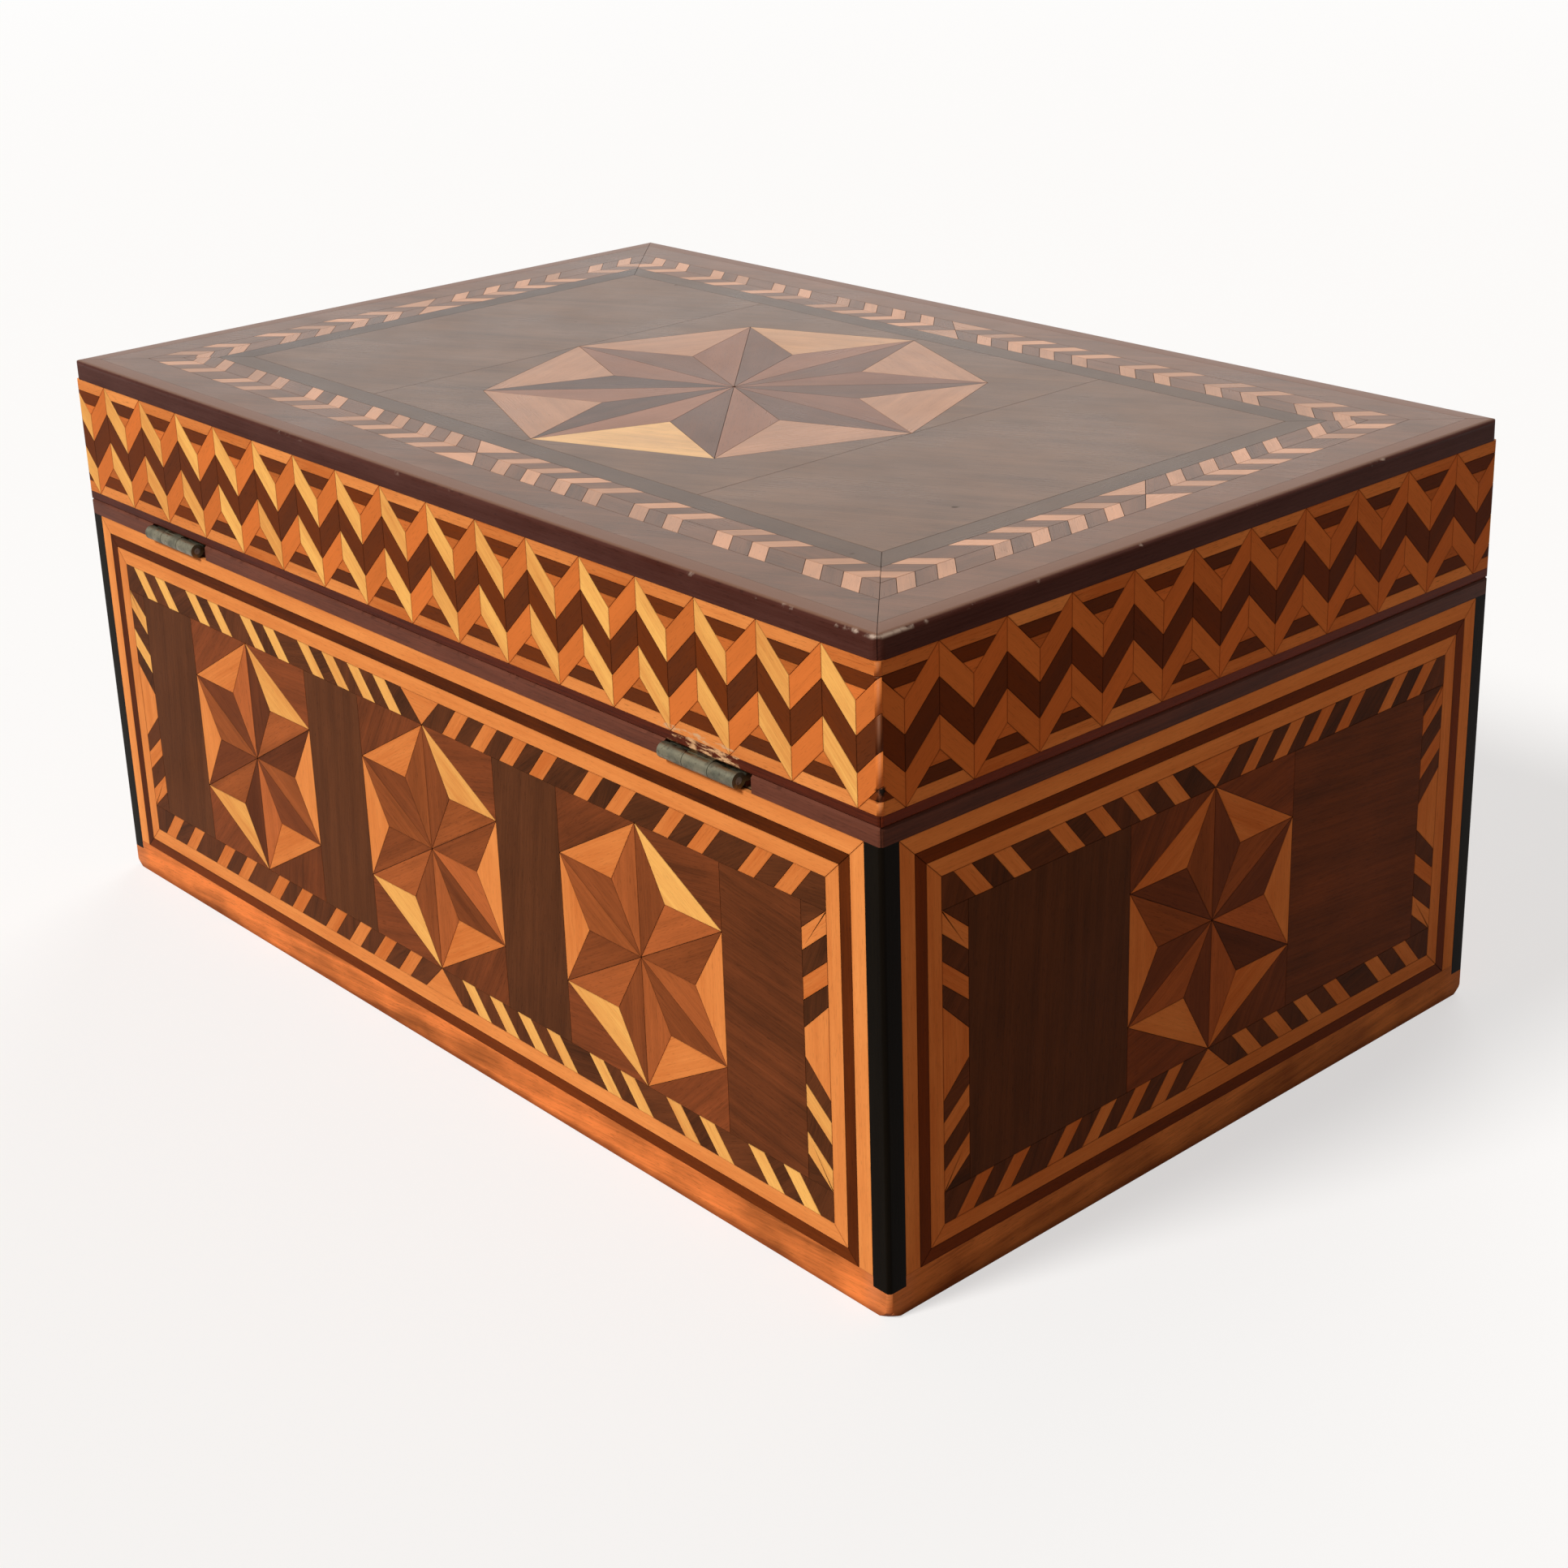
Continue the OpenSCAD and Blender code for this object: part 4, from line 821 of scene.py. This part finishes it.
def half_tone(spot):
    """Dark halves of the star points: all but one star on a long side have paler ones."""
    roll = chance(spot.x, spot.y)
    if spot.side in LONG_SIDES and spot.x > PLAIN_STAR:
        return 0.4 + 0.4 * roll, 0.6
    return roll, 0.0


def dark_line_tone(spot):
    """The lowest strips and those on the ends are the redder ones."""
    roll = chance(spot.x, spot.y)
    red = spot.y < FOOT_LINE or spot.side in ENDS
    return (0.8 + 0.2 * roll if red else 0.1 + 0.35 * roll), 0.0


class BoxOperator:
    """What the operators of this file share"""

    bl_options = {"REGISTER"}

    def woods(self, context):
        return context.scene.box_woods

    def finish(self, context):
        return context.scene.box_finish


class BOX_OT_side_marquetry(BoxOperator, bpy.types.Operator):
    """Lay the stars, teeth, grounds and lines of the four sides"""

    bl_idname = "box.side_marquetry"
    bl_label = "Side marquetry"

    def execute(self, context):
        woods, finish = self.woods(context), self.finish(context)
        gloss, width = finish.side_gloss, finish.joint_width
        look = dict(gloss=gloss, polish=SIDE_POLISH, joint=finish.joint_shade)
        ground = veneer_material("Side ground", deeper(woods.ground, 0.55),
                                 deeper(woods.ground, 1.5), deeper(woods.tile, 1.5),
                                 **dict(look, joint=0.0))
        light = veneer_material("Side light wood", deeper(woods.orange, 0.8),
                                deeper(woods.light, 1.06), woods.bright, pores=0.15, **look)
        brown = veneer_material("Side brown wood", deeper(woods.brown, 0.6),
                                deeper(woods.brown, 1.4), woods.brown, **look)
        dark = veneer_material("Side dark wood", deeper(woods.dark, 0.6),
                               deeper(woods.dark, 1.5), woods.brown, **look)
        line = veneer_material("Dark line wood", deeper(woods.line, 0.5),
                               deeper(woods.line, 1.6), woods.line, **look)
        for side in LONG_SIDES + ENDS:
            lay(side + "_ground", ground, ground_grain, ground_tone, width=width)
            lay(side + "_light_inlay", light, "long", star_light_tone, width=width)
            lay(side + "_brown_inlay", brown, "long", even, width=width)
            lay(side + "_dark_inlay", dark, "long", half_tone, width=width)
        lay("border_light_lines", light, "long", light_line_tone, width=width)
        lay("border_dark_lines", line, "long", dark_line_tone, width=width)
        return {"FINISHED"}


class BOX_OT_lid_band(BoxOperator, bpy.types.Operator):
    """Lay the zigzag band round the lid"""

    bl_idname = "box.lid_band"
    bl_label = "Lid band"

    def execute(self, context):
        woods, finish = self.woods(context), self.finish(context)
        gloss, width = finish.side_gloss, finish.joint_width
        look = dict(gloss=gloss, polish=SIDE_POLISH, joint=finish.joint_shade, marks=band_marks)
        light = veneer_material("Band light wood", deeper(woods.orange, 0.75), woods.orange,
                                woods.bright, pores=0.15, **look)
        dark = veneer_material("Band dark wood", deeper(woods.dark, 0.7), deeper(woods.line, 1.5),
                               woods.line, **look)
        tip = veneer_material("Band tip wood", deeper(woods.orange, 0.6), woods.orange,
                              woods.orange, **look)
        strip = veneer_material("Band strip wood", deeper(woods.orange, 0.75), woods.light,
                                woods.light, **look)
        lay("band_light_arms", light, "long", arm_tone, width=width)
        lay("band_dark_arms", dark, "long", dark_arm_tone, width=width)
        lay("band_dark_blocks", dark, "long", even, width=width)
        lay("band_amber_tips", tip, "long", even, width=width)
        lay("band_light_strips", strip, "long", even, width=width)
        return {"FINISHED"}


class BOX_OT_top_marquetry(BoxOperator, bpy.types.Operator):
    """Lay the star, ground, frame and chevrons of the lid's top"""

    bl_idname = "box.top_marquetry"
    bl_label = "Top marquetry"

    def execute(self, context):
        woods, finish = self.woods(context), self.finish(context)
        gloss, width = finish.top_gloss, finish.joint_width
        look = dict(gloss=gloss, polish=TOP_POLISH, mottle=0.4, joint=0.0, marks=top_marks)
        base, border, light = woods.top_ground, woods.top_border, woods.top_light
        ground = veneer_material("Top ground", deeper(base, 0.6), deeper(base, 1.45),
                                 deeper(border, 1.4), **look)
        strip = veneer_material("Top frame", *TOP_FRAME, base, **look)
        pale = veneer_material("Top light wood", deeper(light, 0.75), deeper(light, 1.25),
                               woods.top_bright, pores=0.15, **look)
        chevron = veneer_material("Chevron wood", deeper(light, 0.85), deeper(light, 1.5),
                                  woods.top_bright, pores=0.15, **look)
        brown = veneer_material("Top brown wood", *TOP_BROWN, TOP_BROWN[1], **look)
        dark = veneer_material("Top dark wood", *TOP_DARK, TOP_DARK[1], **look)
        lay("top_ground", ground, ground_grain, ground_tone, width=width)
        lay("top_frame", strip, "long", even, width=width)
        lay("top_chevrons", chevron, "long", even, width=width)
        lay("top_chevron_ground", ground, "long", ground_tone, width=width)
        lay("top_star_light", pale, "long", star_light_tone, width=width)
        lay("top_star_brown", brown, "long", even, width=width)
        lay("top_star_dark", dark, "long", even, width=width)
        return {"FINISHED"}


class BOX_OT_edgings(BoxOperator, bpy.types.Operator):
    """Finish the foot banding, corner strings, rim, lip and moulding"""

    bl_idname = "box.edgings"
    bl_label = "Edgings"

    def execute(self, context):
        woods, finish = self.woods(context), self.finish(context)
        gloss = finish.side_gloss
        banding = veneer_material("Foot banding wood", deeper(woods.banding, 0.5),
                                  deeper(woods.banding, 1.45), deeper(woods.light, 0.9), gloss,
                                  SIDE_POLISH, fibre=0.35, band=0.7, mottle=0.9, spread=0.3,
                                  marks=foot_marks)
        black = veneer_material("Black string wood", woods.black, deeper(woods.black, 2.0),
                                woods.black, gloss=0.3, polish=0.02)
        rosewood = veneer_material("Rosewood", deeper(woods.rosewood, 0.45),
                                   deeper(woods.rosewood, 1.6), woods.rosewood, gloss,
                                   EDGING_POLISH, fibre=0.5)
        lip = veneer_material("Lip wood", deeper(woods.lip, 0.5), deeper(woods.lip, 1.5),
                              woods.lip, gloss, EDGING_POLISH, fibre=0.5, marks=hinge_marks)
        moulding = veneer_material("Moulding wood", deeper(woods.lip, 0.35), woods.moulding,
                                   woods.moulding, gloss, MOULDING_POLISH,
                                   marks=moulding_marks)
        lay("foot_banding", banding, FOOT_GRAIN, foot_tone)
        lay("corner_strings", black, 90, even, solid=True)
        lay("base_rim", rosewood, 0, rim_tone, solid=True)
        lay("lid_lip", lip, 0, even, solid=True)
        lay("lid_moulding", moulding, 0, even, solid=True)
        return {"FINISHED"}


class BOX_OT_boards(BoxOperator, bpy.types.Operator):
    """Give the boards of box and lid their plain wood"""

    bl_idname = "box.boards"
    bl_label = "Boards"

    def execute(self, context):
        colour = tuple(self.woods(context).pine)
        long_wood = board_material("Long board wood", colour)
        end_wood = board_material("End board wood", colour, turned=True)
        for node in ("back_board", "front_board", "bottom_board", "lid_back_rail",
                     "lid_front_rail", "lid_board"):
            paint(node, long_wood)
        for node in ("left_board", "right_board", "lid_left_rail", "lid_right_rail"):
            paint(node, end_wood)
        return {"FINISHED"}


class BOX_OT_metalwork(BoxOperator, bpy.types.Operator):
    """Give hinges, screws and lock their old metal"""

    bl_idname = "box.metalwork"
    bl_label = "Metalwork"

    def execute(self, context):
        hinge = metal_material("Hinge brass", bright=(0.22, 0.195, 0.13),
                               dull=(0.08, 0.08, 0.055), patina=0.9, roughness=0.30)
        brass = metal_material("Lock brass", bright=(0.60, 0.43, 0.20),
                               dull=(0.46, 0.34, 0.17), patina=0.3, roughness=0.32)
        steel = metal_material("Steel", bright=(0.45, 0.45, 0.44),
                               dull=(0.22, 0.20, 0.18), patina=0.5, roughness=0.35)
        for node in ("hinge_box_leaves", "hinge_lid_leaves"):
            paint(node, hinge)
        for node in ("lock_case", "link_plate", "escutcheon", "hinge_box_screws",
                     "hinge_lid_screws", "lock_screws", "link_plate_screws"):
            paint(node, brass)
        for node in ("hinge_pins", "lock_bolt"):
            paint(node, steel)
        return {"FINISHED"}


class BOX_OT_stage(BoxOperator, bpy.types.Operator):
    """Set the floor, the lights and the camera"""

    bl_idname = "box.stage"
    bl_label = "Stage"

    def floor_paint(self, pale):
        """Pale floor that shows white, more so with distance, and keeps some shadow."""
        sheet = new_sheet("Floor paint")
        dust = sheet.noise(sheet.place(), scale=4.0, detail=3.0)
        roughness = 0.85 + (dust - 0.5) * 0.1
        colour = sheet.blend(dust, deeper(pale, 0.985), pale)
        white = sheet.away(sheet.place(), (0, 0, 0)).above(0.6, 4.0) * 0.4 + 0.6
        glow = sheet.node("ShaderNodeEmission", {}, {"Color": WHITE, "Strength": 1.0})
        shown = sheet.mixed(white, sheet.shader(colour, roughness, specular_ior_level=0.1), glow)
        bounce = sheet.shader(FLOOR_BOUNCE, roughness, specular_ior_level=0.1)
        return sheet.close(sheet.mixed(sheet.seen(), bounce, shown))

    def execute(self, context):
        settings = context.scene.box_stage
        scene = context.scene
        bpy.ops.object.select_all(action="DESELECT")
        bpy.ops.mesh.primitive_circle_add(vertices=96, radius=FLOOR_RADIUS, fill_type="NGON",
                                          location=(0, 0, 0))
        floor = context.view_layer.objects.active
        floor.name = "floor"
        floor.data.materials.append(self.floor_paint(tuple(settings.floor_colour)))
        floor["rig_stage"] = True
        scene.world = bpy.data.worlds.new("Studio")
        sheet = Sheet(scene.world)
        soft = sheet.node("ShaderNodeBackground", {},
                          {"Color": WARM_SKY, "Strength": settings.sky})
        white = sheet.node("ShaderNodeBackground", {}, {"Color": WHITE, "Strength": 1.0})
        sheet.close(sheet.mixed(sheet.seen(), soft, white), "World")
        for name, place, power, spread, colour in (
            ("key_light", KEY_PLACE, settings.key, 14.0, (1.0, 0.985, 0.96)),
            ("fill_light", FILL_PLACE, settings.fill, 40.0, (1.0, 0.99, 0.97)),
        ):
            bpy.ops.object.light_add(type="SUN", location=place)
            light = context.view_layer.objects.active
            light.name = name
            light.data.energy = power
            light.data.angle = math.radians(spread)
            light.data.color = colour
            light.rotation_euler = Vector(place).to_track_quat("Z", "Y").to_euler()
            light.visible_glossy = name == "key_light"
        bpy.ops.object.camera_add(
            location=CAMERA_PLACE, rotation=[math.radians(turn) for turn in CAMERA_TURN]
        )
        camera = context.view_layer.objects.active
        camera.name = "camera"
        camera.data.sensor_width = 36
        camera.data.lens = settings.lens
        camera.data.shift_y = CAMERA_SHIFT
        camera.data.clip_start = 0.01
        scene.camera = camera
        scene.view_settings.view_transform = "Standard"
        return {"FINISHED"}


OPERATORS = (
    BOX_OT_side_marquetry,
    BOX_OT_lid_band,
    BOX_OT_top_marquetry,
    BOX_OT_edgings,
    BOX_OT_boards,
    BOX_OT_metalwork,
    BOX_OT_stage,
)


class BOX_PT_panel(bpy.types.Panel):
    """Steps of the finish and their settings"""

    bl_idname = "BOX_PT_panel"
    bl_label = "Marquetry Box"
    bl_space_type = "VIEW_3D"
    bl_region_type = "UI"
    bl_category = "Marquetry Box"

    def draw(self, context):
        for operator in OPERATORS:
            self.layout.operator(operator.bl_idname)
        for group in ("box_woods", "box_finish", "box_stage"):
            settings = getattr(context.scene, group)
            column = self.layout.column()
            for name in settings.__annotations__:
                column.prop(settings, name)


CLASSES = (WoodColours, FinishSettings, StageSettings, *OPERATORS, BOX_PT_panel)


def register():
    for item in CLASSES:
        bpy.utils.register_class(item)
    bpy.types.Scene.box_woods = PointerProperty(type=WoodColours)
    bpy.types.Scene.box_finish = PointerProperty(type=FinishSettings)
    bpy.types.Scene.box_stage = PointerProperty(type=StageSettings)


def unregister():
    del bpy.types.Scene.box_stage
    del bpy.types.Scene.box_finish
    del bpy.types.Scene.box_woods
    for item in reversed(CLASSES):
        bpy.utils.unregister_class(item)


def plain(value):
    """Nested lists of numbers."""
    return [plain(part) for part in value] if hasattr(value, "__len__") else float(value)


def main():
    register()
    for step in ("stage", "boards", "metalwork", "edgings", "side_marquetry", "lid_band",
                 "top_marquetry"):
        getattr(bpy.ops.box, step)()
    {"cad": plain(CAD_BOX), "visual": plain(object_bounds())}


if __name__ == "__main__":
    main()
